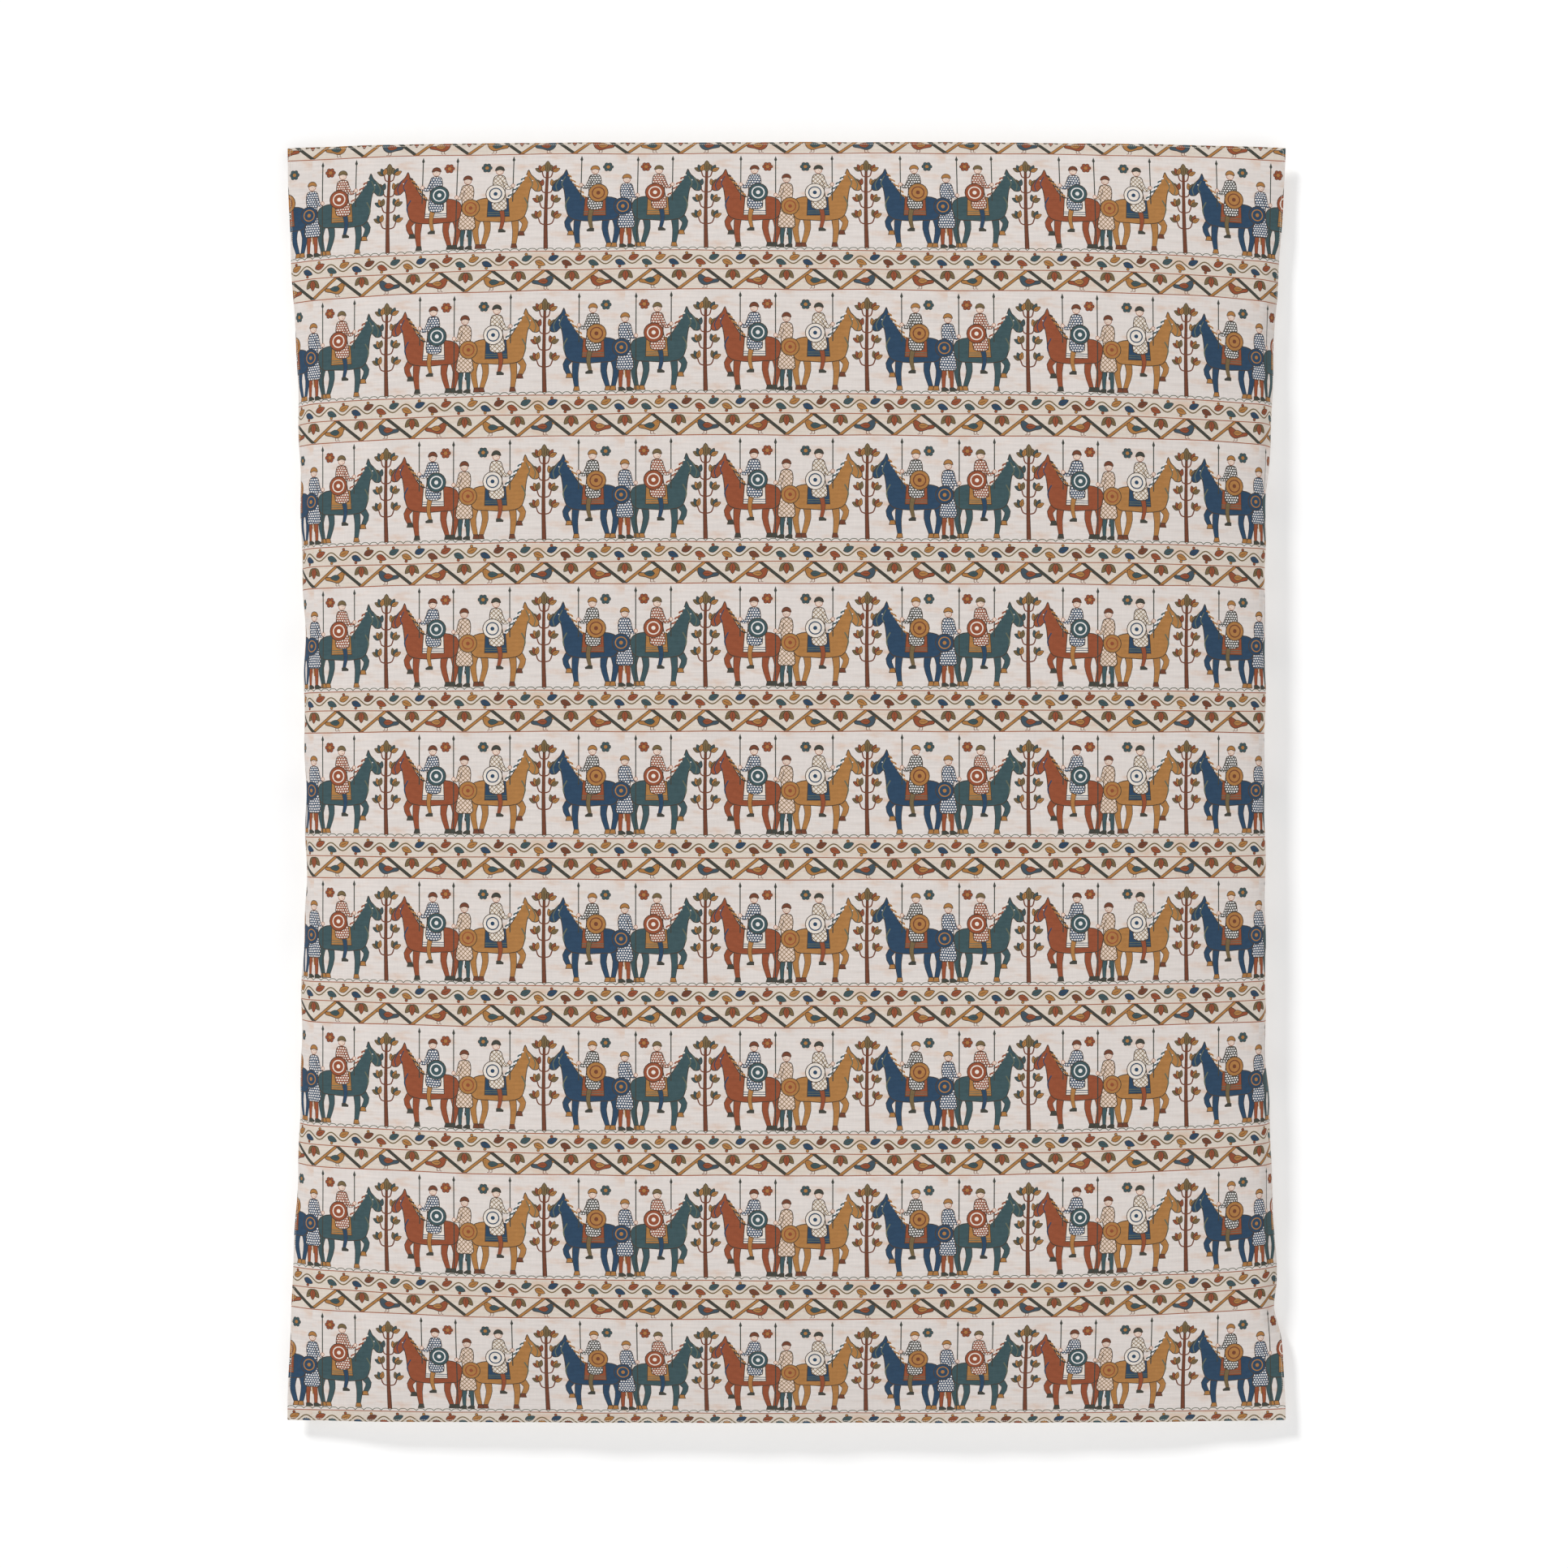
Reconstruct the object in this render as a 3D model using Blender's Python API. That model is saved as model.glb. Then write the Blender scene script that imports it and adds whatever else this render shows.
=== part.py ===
"""Printed wall hanging: one hemmed cloth panel, held by four tape loops sewn behind its corners.

The panel is printed, cut and hemmed flat, then hung from its corners with its middle standing forward,
so every layer is laid out on the flat cloth in (u, v) and carried to its hanging place by hang().
u runs to the right of the panel's centre line and v runs up from its top edge, so v is never positive.

Frame, in metres: +X to the right, +Z up, and -Y out of the wall towards the room. The origin is on the
wall's face, at the middle of the panel's top edge.
"""

import math

import bmesh
import bpy
import numpy as np

# The panel, as hemmed and laid flat: the 55 by 70 inch size of large printed hangings
PANEL_WIDTH = 1.397
PANEL_HEIGHT = 1.778
CLOTH_THICKNESS = 0.0005

# Layers sewn to the back stay this far from each other
LAYER_GAP = 0.0005

# How the panel stands off the wall
CORNER_STANDOFF = 0.014  # a fifth of the billow is added to this at the corners themselves
BILLOW = 0.1  # how much further forward the middle is
SIDE_SHARE = 0.19  # share of the billow that is already there at the side edges
END_SHARE = 0.24  # share of the billow that is already there at the top and bottom edges
SIDE_REACH = 0.165  # how far in from a side the billow grows
END_REACH = 0.24  # how far in from the top or bottom the billow grows

# Both sides roll back towards the wall between their corners
ROLL_WIDTH = 0.031  # how much cloth turns back
ROLL_BEND = 0.0045  # how softly it turns
LEFT_ROLL = 0.50  # how steeply the left side turns at mid height
RIGHT_ROLL = 0.56
LEFT_ROLL_SPREAD = 1.15  # the power that fades the roll out towards the corners
RIGHT_ROLL_SPREAD = 2.8

# The mesh of each layer
COLUMNS_PER_HALF = 14
ROWS_PER_HALF = 15
COLUMN_GRADING = 2.0  # above 1, columns lie closer together towards the sides
ROW_GRADING = 1.9
ARC_SAMPLES = 48

# The hem: the cut edge folded twice to the back and stitched down
HEM_WIDTH = 0.006
HEM_THICKNESS = 0.001
HEM_EDGE_INSET = 0.0006
THREAD_WIDTH = 0.0008
THREAD_THICKNESS = 0.0003

# The hanging loops: twill tape with both ends sewn down and the middle standing out as an eye
TAPE_WIDTH = 0.012
TAPE_THICKNESS = 0.0008
LOOP_SIDE_INSET = 0.034  # from the panel's side to the loop's middle
LOOP_END_INSET = 0.016  # from the panel's top or bottom to the loop's middle
FOOT_LENGTH = 0.010
EYE_HALF_WIDTH = 0.012  # from the loop's middle to the inner end of a foot
CROWN_HALF_WIDTH = 0.006  # half of the flat stretch that bears on the wall
LEG_STEPS = 4

# A bartack of dense thread holds each foot
BARTACK_LENGTH = 0.009
BARTACK_WIDTH = 0.002
BARTACK_THICKNESS = 0.0004

# The blank care label, sewn down along its lower end
LABEL_WIDTH = 0.025
LABEL_HEIGHT = 0.040
LABEL_THICKNESS = 0.0004
LABEL_SIDE_INSET = 0.30
LABEL_END_INSET = 0.009

# Colours are linear RGB with a roughness
MATERIALS = {
    "printed_cloth": ((0.56, 0.43, 0.33), 0.85),
    "cloth_back": ((0.74, 0.69, 0.63), 0.9),
    "thread": ((0.80, 0.75, 0.67), 0.7),
    "tape": ((0.70, 0.63, 0.53), 0.85),
    "label": ((0.86, 0.85, 0.82), 0.45),
}

smooth_step = np.vectorize(math.erf)


def relief(u, v):
    """How far the panel stands off the wall at each point of the flat cloth."""
    side_distance = PANEL_WIDTH / 2 - np.abs(u)
    end_distance = np.minimum(-v, PANEL_HEIGHT + v)
    height = 1 + 2 * v / PANEL_HEIGHT  # from -1 at the bottom edge to 1 at the top
    across = SIDE_SHARE + (1 - SIDE_SHARE) * (1 - np.exp(-side_distance / SIDE_REACH))
    along = END_SHARE + (1 - END_SHARE) * smooth_step(end_distance / END_REACH)
    left_roll = LEFT_ROLL * np.clip(1 - height**2, 0, 1) ** LEFT_ROLL_SPREAD
    right_roll = RIGHT_ROLL * (1 - np.abs(height) ** RIGHT_ROLL_SPREAD)
    turned = ROLL_BEND * np.log1p(np.exp((ROLL_WIDTH - side_distance) / ROLL_BEND))
    turned = np.where(side_distance > 4 * ROLL_WIDTH, 0, turned)
    return CORNER_STANDOFF + BILLOW * across * along - np.where(u < 0, left_roll, right_roll) * turned


def shortening(u, v, along_u):
    """How much shorter the cloth looks from the front, from the panel's middle out to each point."""
    ratio = np.zeros_like(u)
    step = 1e-4
    middle = -PANEL_HEIGHT / 2
    for sample in range(ARC_SAMPLES):
        rest = 1 - (sample + 0.5) / ARC_SAMPLES
        reach = (1 - rest**3) * 0.9998  # samples gather towards the edge, where the cloth turns most
        if along_u:
            slope = (relief(u * reach + step, v) - relief(u * reach - step, v)) / (2 * step)
        else:
            level = middle + (v - middle) * reach
            slope = (relief(u, level + step) - relief(u, level - step)) / (2 * step)
        ratio += 3 * rest**2 / ARC_SAMPLES * np.sqrt(np.maximum(1 - slope**2, 0.02))
    return ratio


def hang(u, v):
    """Where points of the flat cloth hang, as an array of X, Y, Z rows. The cloth bends and doesn't stretch."""
    middle = -PANEL_HEIGHT / 2
    x = u * shortening(u, v, along_u=True)
    edge = np.where(v > middle, 0.0, -PANEL_HEIGHT)
    rise = shortening(u, v, along_u=False) / shortening(u, edge, along_u=False)
    return np.stack([x, -relief(u, v), middle + (v - middle) * rise], axis=-1)


def behind(u, v, distance):
    """The point this far behind the printed face of the hanging cloth, square to it."""
    u, v = np.broadcast_arrays(np.asarray(u, float), np.asarray(v, float))
    step = 5e-4
    across = hang(u + step, v) - hang(u - step, v)
    up = hang(u, np.minimum(v + step, 0)) - hang(u, np.maximum(v - step, -PANEL_HEIGHT))
    normal = np.cross(up, across)
    normal /= np.linalg.norm(normal, axis=-1, keepdims=True)
    return hang(u, v) + normal * distance


def graded(length, steps, grading):
    """Distances from 0 to length and on to twice length, closer together at both ends."""
    first = [length * (k / steps) ** grading for k in range(steps + 1)]
    return first + [2 * length - distance for distance in reversed(first[:-1])]


def with_hem_lines(length, steps, grading):
    """Distances over a whole side of the panel, with lines where both hems begin and end."""
    hem_lines = [HEM_EDGE_INSET, HEM_EDGE_INSET + HEM_WIDTH]
    hem_lines += [length - line for line in hem_lines]
    inner = [d for d in graded(length / 2, steps, grading) if 1.5 * HEM_WIDTH < d < length - 1.5 * HEM_WIDTH]
    return sorted([0.0, *hem_lines, *inner, length])


def column_places():
    return [inset - PANEL_WIDTH / 2 for inset in with_hem_lines(PANEL_WIDTH, COLUMNS_PER_HALF, COLUMN_GRADING)]


def row_places():
    return [-inset for inset in with_hem_lines(PANEL_HEIGHT, ROWS_PER_HALF, ROW_GRADING)]


def between(places, low, high):
    """The places strictly between two ends, with the ends themselves added."""
    margin = 1e-4
    inner = [place for place in places if low + margin < place < high - margin]
    return [low] + sorted(inner) + [high]


def make_material(name):
    colour, roughness = MATERIALS[name]
    material = bpy.data.materials.get(name)
    if material is None:
        material = bpy.data.materials.new(name)
        material.use_nodes = True
        shader = material.node_tree.nodes["Principled BSDF"]
        shader.inputs["Base Color"].default_value = (*colour, 1)
        shader.inputs["Roughness"].default_value = roughness
    return material


def closed_shell(name, front, back, material):
    """One closed solid between two grids of points that have the same number of rows and columns."""
    rows, columns = front.shape[:2]
    shape = bmesh.new()
    front_verts = [[shape.verts.new(point) for point in row] for row in front]
    back_verts = [[shape.verts.new(point) for point in row] for row in back]
    for i in range(rows - 1):
        for j in range(columns - 1):
            for verts in (front_verts, back_verts):  # both faces split along the same diagonal
                shape.faces.new([verts[i][j], verts[i][j + 1], verts[i + 1][j + 1]])
                shape.faces.new([verts[i][j], verts[i + 1][j + 1], verts[i + 1][j]])
    rim = [(0, j) for j in range(columns)]
    rim += [(i, columns - 1) for i in range(1, rows)]
    rim += [(rows - 1, j) for j in range(columns - 2, -1, -1)]
    rim += [(i, 0) for i in range(rows - 2, 0, -1)]
    for (i, j), (k, m) in zip(rim, rim[1:] + rim[:1]):
        shape.faces.new([front_verts[i][j], front_verts[k][m], back_verts[k][m], back_verts[i][j]])
    bmesh.ops.recalc_face_normals(shape, faces=shape.faces)
    bmesh.ops.triangulate(shape, faces=shape.faces)
    mesh = bpy.data.meshes.new(name)
    shape.to_mesh(mesh)
    shape.free()
    piece = bpy.data.objects.new(name, mesh)
    piece.data.materials.append(make_material(material))
    bpy.context.scene.collection.objects.link(piece)
    return piece


def layer(name, us, vs, near, thickness, material):
    """A flat layer over the columns us and rows vs, from near to near + thickness behind the printed face."""
    u, v = np.meshgrid(us, vs)
    return closed_shell(name, behind(u, v, near), behind(u, v, near + thickness), material)


def make_panel():
    layer("printed_cloth", column_places(), row_places(), 0.0, CLOTH_THICKNESS, "printed_cloth")


def thread_run(places):
    """The two edges of a line of thread along the middle of a hem."""
    middle = (places[0] + places[-1]) / 2
    return [middle - THREAD_WIDTH / 2, middle + THREAD_WIDTH / 2]


def make_hems():
    """Four turned hems on the back, and the row of stitches along the middle of each."""
    side = PANEL_WIDTH / 2 - HEM_EDGE_INSET
    top = -HEM_EDGE_INSET
    bottom = HEM_EDGE_INSET - PANEL_HEIGHT
    side_inner = side - HEM_WIDTH
    end_limit = side_inner - LAYER_GAP  # the top and bottom hems butt against the side hems
    columns = between(column_places(), -end_limit, end_limit)
    rows = between(row_places(), bottom, top)
    hems = {
        "top": (columns, [top - HEM_WIDTH, top]),
        "bottom": (columns, [bottom, bottom + HEM_WIDTH]),
        "left": (between(column_places(), -side, -side_inner), rows),
        "right": (between(column_places(), side_inner, side), rows),
    }
    hem_near = CLOTH_THICKNESS + LAYER_GAP
    thread_near = hem_near + HEM_THICKNESS + LAYER_GAP
    for place, (us, vs) in hems.items():
        layer(f"hem_{place}", us, vs, hem_near, HEM_THICKNESS, "cloth_back")
        if place in ("left", "right"):
            us = thread_run(us)
        else:
            vs = thread_run(vs)
        layer(f"hem_stitches_{place}", us, vs, thread_near, THREAD_THICKNESS, "thread")


def make_loop(name, u, v):
    """A tape loop around an upright eye: foot, leg, flat crown on the wall's face, leg, foot."""
    foot_near = CLOTH_THICKNESS + LAYER_GAP
    edges = [v - TAPE_WIDTH / 2, v + TAPE_WIDTH / 2]
    inner, outer = [], []
    for side in (-1, 1):
        foot_end = u + side * EYE_HALF_WIDTH
        foot_tip = foot_end + side * FOOT_LENGTH
        near = behind(np.array([[foot_tip] * 2, [foot_end] * 2]), np.array([edges] * 2), foot_near)
        far = behind(np.array([[foot_tip] * 2, [foot_end] * 2]), np.array([edges] * 2), foot_near + TAPE_THICKNESS)
        crown = hang(np.full(2, u), np.array(edges))
        crown_inner = crown + np.array([side * CROWN_HALF_WIDTH, 0, 0])
        crown_outer = crown_inner + np.array([side * TAPE_THICKNESS, 0, 0])
        crown_inner[:, 1] = -TAPE_THICKNESS
        crown_outer[:, 1] = 0
        leg_inner, leg_outer = [], []
        for k in range(1, LEG_STEPS):
            share = k / LEG_STEPS
            rise = (1 - math.cos(math.pi * share)) / 2  # leaves the foot and meets the crown smoothly
            lean = np.array([side * TAPE_THICKNESS, 0, 0]) * math.sin(math.pi * share)
            blend = np.array([share, rise, share])
            leg_inner.append(near[1] + (crown_inner - near[1]) * blend)
            leg_outer.append(far[1] + (crown_outer - far[1]) * blend + lean)
        inner_run = [near[0], near[1], *leg_inner, crown_inner]
        outer_run = [far[0], far[1], *leg_outer, crown_outer]
        if side > 0:
            inner_run.reverse()
            outer_run.reverse()
        inner += inner_run
        outer += outer_run
    return closed_shell(name, np.array(inner), np.array(outer), "tape")


def make_bartack(name, u, v):
    near = CLOTH_THICKNESS + LAYER_GAP + TAPE_THICKNESS + LAYER_GAP
    us = [u - BARTACK_WIDTH / 2, u + BARTACK_WIDTH / 2]
    vs = [v - BARTACK_LENGTH / 2, v + BARTACK_LENGTH / 2]
    layer(name, us, vs, near, BARTACK_THICKNESS, "thread")


def make_corner_loops():
    """A loop behind each corner, with a bartack on its outer and on its inner foot."""
    foot_middle = EYE_HALF_WIDTH + FOOT_LENGTH / 2
    for end, v in (("top", -LOOP_END_INSET), ("bottom", LOOP_END_INSET - PANEL_HEIGHT)):
        for hand, side in (("left", -1), ("right", 1)):
            u = side * (PANEL_WIDTH / 2 - LOOP_SIDE_INSET)
            make_loop(f"hanging_loop_{end}_{hand}", u, v)
            make_bartack(f"bartack_{end}_{hand}_outer", u + side * foot_middle, v)
            make_bartack(f"bartack_{end}_{hand}_inner", u - side * foot_middle, v)


def make_label():
    """A blank care label on the back, just above the bottom hem."""
    right = PANEL_WIDTH / 2 - LABEL_SIDE_INSET
    bottom = LABEL_END_INSET - PANEL_HEIGHT
    us = [right - LABEL_WIDTH, right - LABEL_WIDTH / 2, right]
    vs = [bottom, bottom + LABEL_HEIGHT / 2, bottom + LABEL_HEIGHT]
    near = CLOTH_THICKNESS + LAYER_GAP
    layer("care_label", us, vs, near, LABEL_THICKNESS, "label")
    seam = bottom + 0.003
    thread = [seam, seam + THREAD_WIDTH]
    thread_near = near + LABEL_THICKNESS + LAYER_GAP
    layer("care_label_stitches", us, thread, thread_near, THREAD_THICKNESS, "thread")


def main():
    for thing in list(bpy.data.objects):
        bpy.data.objects.remove(thing, do_unlink=True)
    make_panel()
    make_hems()
    make_corner_loops()
    make_label()


main()
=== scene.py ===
"""The looks of the printed wall hanging: one hemmed linen-coloured cloth, printed with rows of riders.

The print is drawn as flat ink shapes, laid out over the cloth as one triangle mesh in which every triangle
has a single ink, and hung with the same curve as the CAD panel. u runs to the right of the cloth's centre
line and v up from its top edge, so v is never positive. The drawing itself is in millimetres, with Y down.
"""

import math

import bpy
import numpy as np
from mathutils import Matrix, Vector
from mathutils.geometry import delaunay_2d_cdt


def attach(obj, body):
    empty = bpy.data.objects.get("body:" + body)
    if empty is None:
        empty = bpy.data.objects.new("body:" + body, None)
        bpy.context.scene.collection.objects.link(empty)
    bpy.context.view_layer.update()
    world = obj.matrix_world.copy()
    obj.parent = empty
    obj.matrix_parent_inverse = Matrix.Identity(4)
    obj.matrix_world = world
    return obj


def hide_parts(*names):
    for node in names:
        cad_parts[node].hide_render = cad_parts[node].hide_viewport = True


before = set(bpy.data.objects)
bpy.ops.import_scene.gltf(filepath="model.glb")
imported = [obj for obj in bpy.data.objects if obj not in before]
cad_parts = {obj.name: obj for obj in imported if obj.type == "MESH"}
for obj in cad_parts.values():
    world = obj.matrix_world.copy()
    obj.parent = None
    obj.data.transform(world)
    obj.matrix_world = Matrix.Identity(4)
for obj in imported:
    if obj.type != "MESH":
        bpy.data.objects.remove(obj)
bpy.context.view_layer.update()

MM = 0.001

# The cloth and its drape, as in the CAD panel
PANEL_WIDTH = 1.397
PANEL_HEIGHT = 1.778
CLOTH_THICKNESS = 0.0005
CORNER_STANDOFF = 0.014
BILLOW = 0.1
SIDE_SHARE = 0.19
END_SHARE = 0.24
SIDE_REACH = 0.165
END_REACH = 0.24
ROLL_WIDTH = 0.031
ROLL_BEND = 0.0045
LEFT_ROLL = 0.50
RIGHT_ROLL = 0.56
LEFT_ROLL_SPREAD = 1.15
RIGHT_ROLL_SPREAD = 2.8

# The hem is folded over a round edge, lies on the back and turns in under itself
FOLD_RADIUS = 0.001
HEM_FLAT = 0.0055
HEM_TURN_RADIUS = 0.0005
HEM_RETURN = 0.0006
HEM_STITCH_INSET = 0.0036  # from the panel's edge to its line of stitches
FACE_HALF_WIDTH = PANEL_WIDTH / 2 - FOLD_RADIUS
FACE_TOP = -FOLD_RADIUS
FACE_BOTTOM = FOLD_RADIUS - PANEL_HEIGHT
FOLD_LENGTH = math.pi * FOLD_RADIUS
TURN_LENGTH = math.pi * HEM_TURN_RADIUS
HEM_LENGTH = FOLD_LENGTH + HEM_FLAT + TURN_LENGTH + HEM_RETURN

# Tape loops, bartacks and label, where the CAD has them
LAYER_GAP = 0.0005
TAPE_WIDTH = 0.012
TAPE_THICKNESS = 0.0008
LOOP_SIDE_INSET = 0.034
LOOP_END_INSET = 0.016
FOOT_LENGTH = 0.010
EYE_HALF_WIDTH = 0.012
CROWN_HALF_WIDTH = 0.006
BARTACK_LENGTH = 0.009
BARTACK_WIDTH = 0.002
LABEL_WIDTH = 0.025
LABEL_HEIGHT = 0.040
LABEL_THICKNESS = 0.0004
LABEL_SIDE_INSET = 0.30
LABEL_END_INSET = 0.009


# Camera and frame

def make_camera():
    """Straight on, level with the middle of the panel."""
    corner_depth = 0.0186
    distance = 3.8
    frame_width = 2.1917  # what the picture takes in at the corners' depth
    camera_data = bpy.data.cameras.new("camera")
    camera_data.sensor_width = 36.0
    camera_data.lens = camera_data.sensor_width * distance / frame_width
    camera = bpy.data.objects.new("camera", camera_data)
    camera.location = (-0.0034, -corner_depth - distance, -PANEL_HEIGHT / 2)
    camera.rotation_euler = (math.pi / 2, 0, 0)
    bpy.context.scene.collection.objects.link(camera)
    bpy.context.scene.camera = camera


make_camera()


# The drape

RIPPLE_REACH = 0.045  # how far in from an edge its ripples are felt
SIDE_RIPPLE, END_RIPPLE, SWELL = 0.0009, 0.0008, 0.0008  # their heights, and that of the swells
CROWN = 0.0040  # how high the top edge arches
CROWN_FULL, CROWN_REACH = 0.055, 0.150  # how far down the arch stays whole and where it has faded out
STEEPEST = 0.02  # least squared share of its length that a sloping stretch shows from the front


def smooth_step(r):
    """Close to the error function: 0 at 0, and 1 well above."""
    return np.tanh(1.1284 * r + 0.103 * r**3)


def ripples(u, v, side_distance, end_distance):
    """The slight waviness of a hemmed edge and the faint swells of cloth that was packed folded."""
    side = np.sign(u)
    along_side = 0.6 * np.sin(v / 0.031 + 1.3) + 0.8 * np.sin(v / 0.0177 + side)
    along_side = along_side + np.sin(v / 0.055 + 2 * side)
    along_end = 0.7 * np.sin(u / 0.024) + 0.8 * np.sin(u / 0.041 + 2.0) + 0.5 * np.sin(u / 0.0163)
    edges = SIDE_RIPPLE * along_side * np.exp(-np.abs(side_distance) / RIPPLE_REACH)
    edges += END_RIPPLE * along_end * np.exp(-np.abs(end_distance) / RIPPLE_REACH)
    swells = np.sin(u / 0.083 + 0.7 * np.sin(v / 0.19)) * np.sin(v / 0.117 + 1.1)
    swells = swells + 0.8 * np.sin(v / 0.071 + u / 0.15)
    return edges + SWELL * swells * (1 - np.exp(-np.abs(side_distance) / 0.1))


def relief(u, v):
    """How far the panel stands off the wall at each point of the flat cloth."""
    side_distance = PANEL_WIDTH / 2 - np.abs(u)
    end_distance = np.minimum(-v, PANEL_HEIGHT + v)
    height = 1 + 2 * v / PANEL_HEIGHT  # from -1 at the bottom edge to 1 at the top
    across = SIDE_SHARE + (1 - SIDE_SHARE) * (1 - np.exp(-side_distance / SIDE_REACH))
    along = END_SHARE + (1 - END_SHARE) * smooth_step(end_distance / END_REACH)
    left_roll = LEFT_ROLL * np.clip(1 - height**2, 0, 1) ** LEFT_ROLL_SPREAD
    right_roll = RIGHT_ROLL * (1 - np.abs(height) ** RIGHT_ROLL_SPREAD)
    right_roll = right_roll + 0.22 * np.exp(-(((v + 1.625) / 0.03) ** 2))  # a dent low on the right side
    turned = ROLL_BEND * np.log1p(np.exp(np.minimum((ROLL_WIDTH - side_distance) / ROLL_BEND, 50)))
    turned = np.where(side_distance > 4 * ROLL_WIDTH, 0, turned)
    base = CORNER_STANDOFF + BILLOW * across * along - np.where(u < 0, left_roll, right_roll) * turned
    return base + ripples(u, v, side_distance, end_distance)


def crown(u, v):
    """How much higher than a straight line the top edge lies, as it was hemmed in a slight arch."""
    fade = np.clip((v + CROWN_REACH) / (CROWN_REACH - CROWN_FULL), 0, 1)
    across = 1 - np.clip(np.abs(u) / (PANEL_WIDTH / 2), 0, 1) ** 3
    return CROWN * across * fade * fade * (3 - 2 * fade)


class Drape:
    """Carries flat points to their hanging places. The cloth bends and doesn't stretch, so X and Z come from
    tables of how much shorter it looks from the front, summed outwards from its middle."""

    MARGIN = 0.003

    def __init__(self):
        self.us = np.linspace(-PANEL_WIDTH / 2 - self.MARGIN, PANEL_WIDTH / 2 + self.MARGIN, 1401)
        self.vs = np.linspace(-PANEL_HEIGHT - self.MARGIN, self.MARGIN, 891)
        depth = relief(*np.meshgrid(self.us, self.vs))
        self.xs = self.summed(depth, self.us, 1, 0.0)
        middle = -PANEL_HEIGHT / 2
        rises = self.summed(depth, self.vs, 0, middle)
        shares = [self.look_up(rises, self.us, np.full_like(self.us, edge)) / (edge - middle)
                  for edge in (-PANEL_HEIGHT, 0.0)]
        self.zs = middle + rises / np.where(self.vs[:, None] < middle, shares[0], shares[1])

    @staticmethod
    def summed(depth, places, axis, start):
        """The length seen from the front, from start out to each place."""
        slope = np.gradient(depth, places, axis=axis)
        seen = np.sqrt(np.maximum(1 - slope**2, STEEPEST))
        steps = (np.take(seen, range(1, len(places)), axis) + np.take(seen, range(len(places) - 1), axis)) / 2
        total = np.cumsum(steps * (places[1] - places[0]), axis=axis)
        total = np.insert(total, 0, 0, axis=axis)
        spot = (start - places[0]) / (places[1] - places[0])
        low = int(spot)
        share = spot - low
        zero = np.take(total, [low], axis) * (1 - share) + np.take(total, [low + 1], axis) * share
        return total - zero

    def look_up(self, table, u, v):
        column = (u - self.us[0]) / (self.us[1] - self.us[0])
        row = (v - self.vs[0]) / (self.vs[1] - self.vs[0])
        j = np.clip(column.astype(int), 0, len(self.us) - 2)
        i = np.clip(row.astype(int), 0, len(self.vs) - 2)
        a, b = column - j, row - i
        low = table[i, j] * (1 - a) + table[i, j + 1] * a
        high = table[i + 1, j] * (1 - a) + table[i + 1, j + 1] * a
        return low * (1 - b) + high * b

    def hang(self, u, v):
        """Where points of the flat cloth hang, as rows of X, Y, Z."""
        u, v = np.broadcast_arrays(np.asarray(u, float), np.asarray(v, float))
        z = self.look_up(self.zs, u, v) + crown(u, v)
        return np.stack([self.look_up(self.xs, u, v), -relief(u, v), z], axis=-1)

    def facing(self, u, v):
        """The unit normal of the printed face, towards the room."""
        step = 5e-4
        u, v = np.broadcast_arrays(np.asarray(u, float), np.asarray(v, float))
        slope_u = (relief(u + step, v) - relief(u - step, v)) / (2 * step)
        slope_v = (relief(u, v + step) - relief(u, v - step)) / (2 * step)
        flat_u = np.sqrt(np.maximum(1 - slope_u**2, STEEPEST))
        flat_v = np.sqrt(np.maximum(1 - slope_v**2, STEEPEST))
        normal = np.stack([-slope_u * flat_v, -flat_u * flat_v, -slope_v * flat_u], axis=-1)
        return normal / np.linalg.norm(normal, axis=-1, keepdims=True)

    def behind(self, u, v, distance):
        """The point this far behind the printed face, square to it."""
        distance = np.asarray(distance, float)
        return self.hang(u, v) - self.facing(u, v) * distance[..., None]


drape = Drape()


# The print's inks, as sRGB from 0 to 255

INKS = {
    "linen": (218, 210, 205),
    "band_linen": (213, 202, 190),
    "white": (226, 222, 220),
    "cream": (223, 214, 204),
    "skin": (222, 200, 185),
    "rust": (144, 78, 52),
    "ochre": (168, 119, 68),
    "navy": (46, 70, 94),
    "teal": (62, 84, 88),
    "navyteal": (66, 82, 93),
    "olive": (115, 98, 68),
    "brown": (112, 66, 48),
    "charcoal": (66, 68, 62),
    "outline": (72, 60, 50),
    "rustline": (156, 96, 70),
    "oliveline": (128, 104, 68),
    "strap": (98, 104, 88),
}
# Figured inks: the ink of the cells, the ink of the lines between them, and which figure
FIGURES = {
    "mail_blue": ("white", "navy", "rings"),
    "mail_grey": ("white", "charcoal", "rings"),
    "mail_rust": ("cream", "rust", "rings"),
    "lozenge": ("cream", "oliveline", "lozenges"),
    "lozenge_tan": ("skin", "oliveline", "lozenges"),
}
INK_NAMES = [*INKS, *FIGURES]


# The print's repeat, drawn in millimetres: X to the right of its left seam, Y down from its top line

REPEAT_WIDTH = 441.5
REPEAT_HEIGHT = 202.5
ROW_PITCH = 199.9  # the cloth shrank a little along its length after it was printed
GROUND = 147.0  # the line under the main scene
BORDER = 173.6  # the line between the vine and the zigzag
OUTLINE = 1.1

shapes = []  # (points, ink), the last one on top


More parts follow.
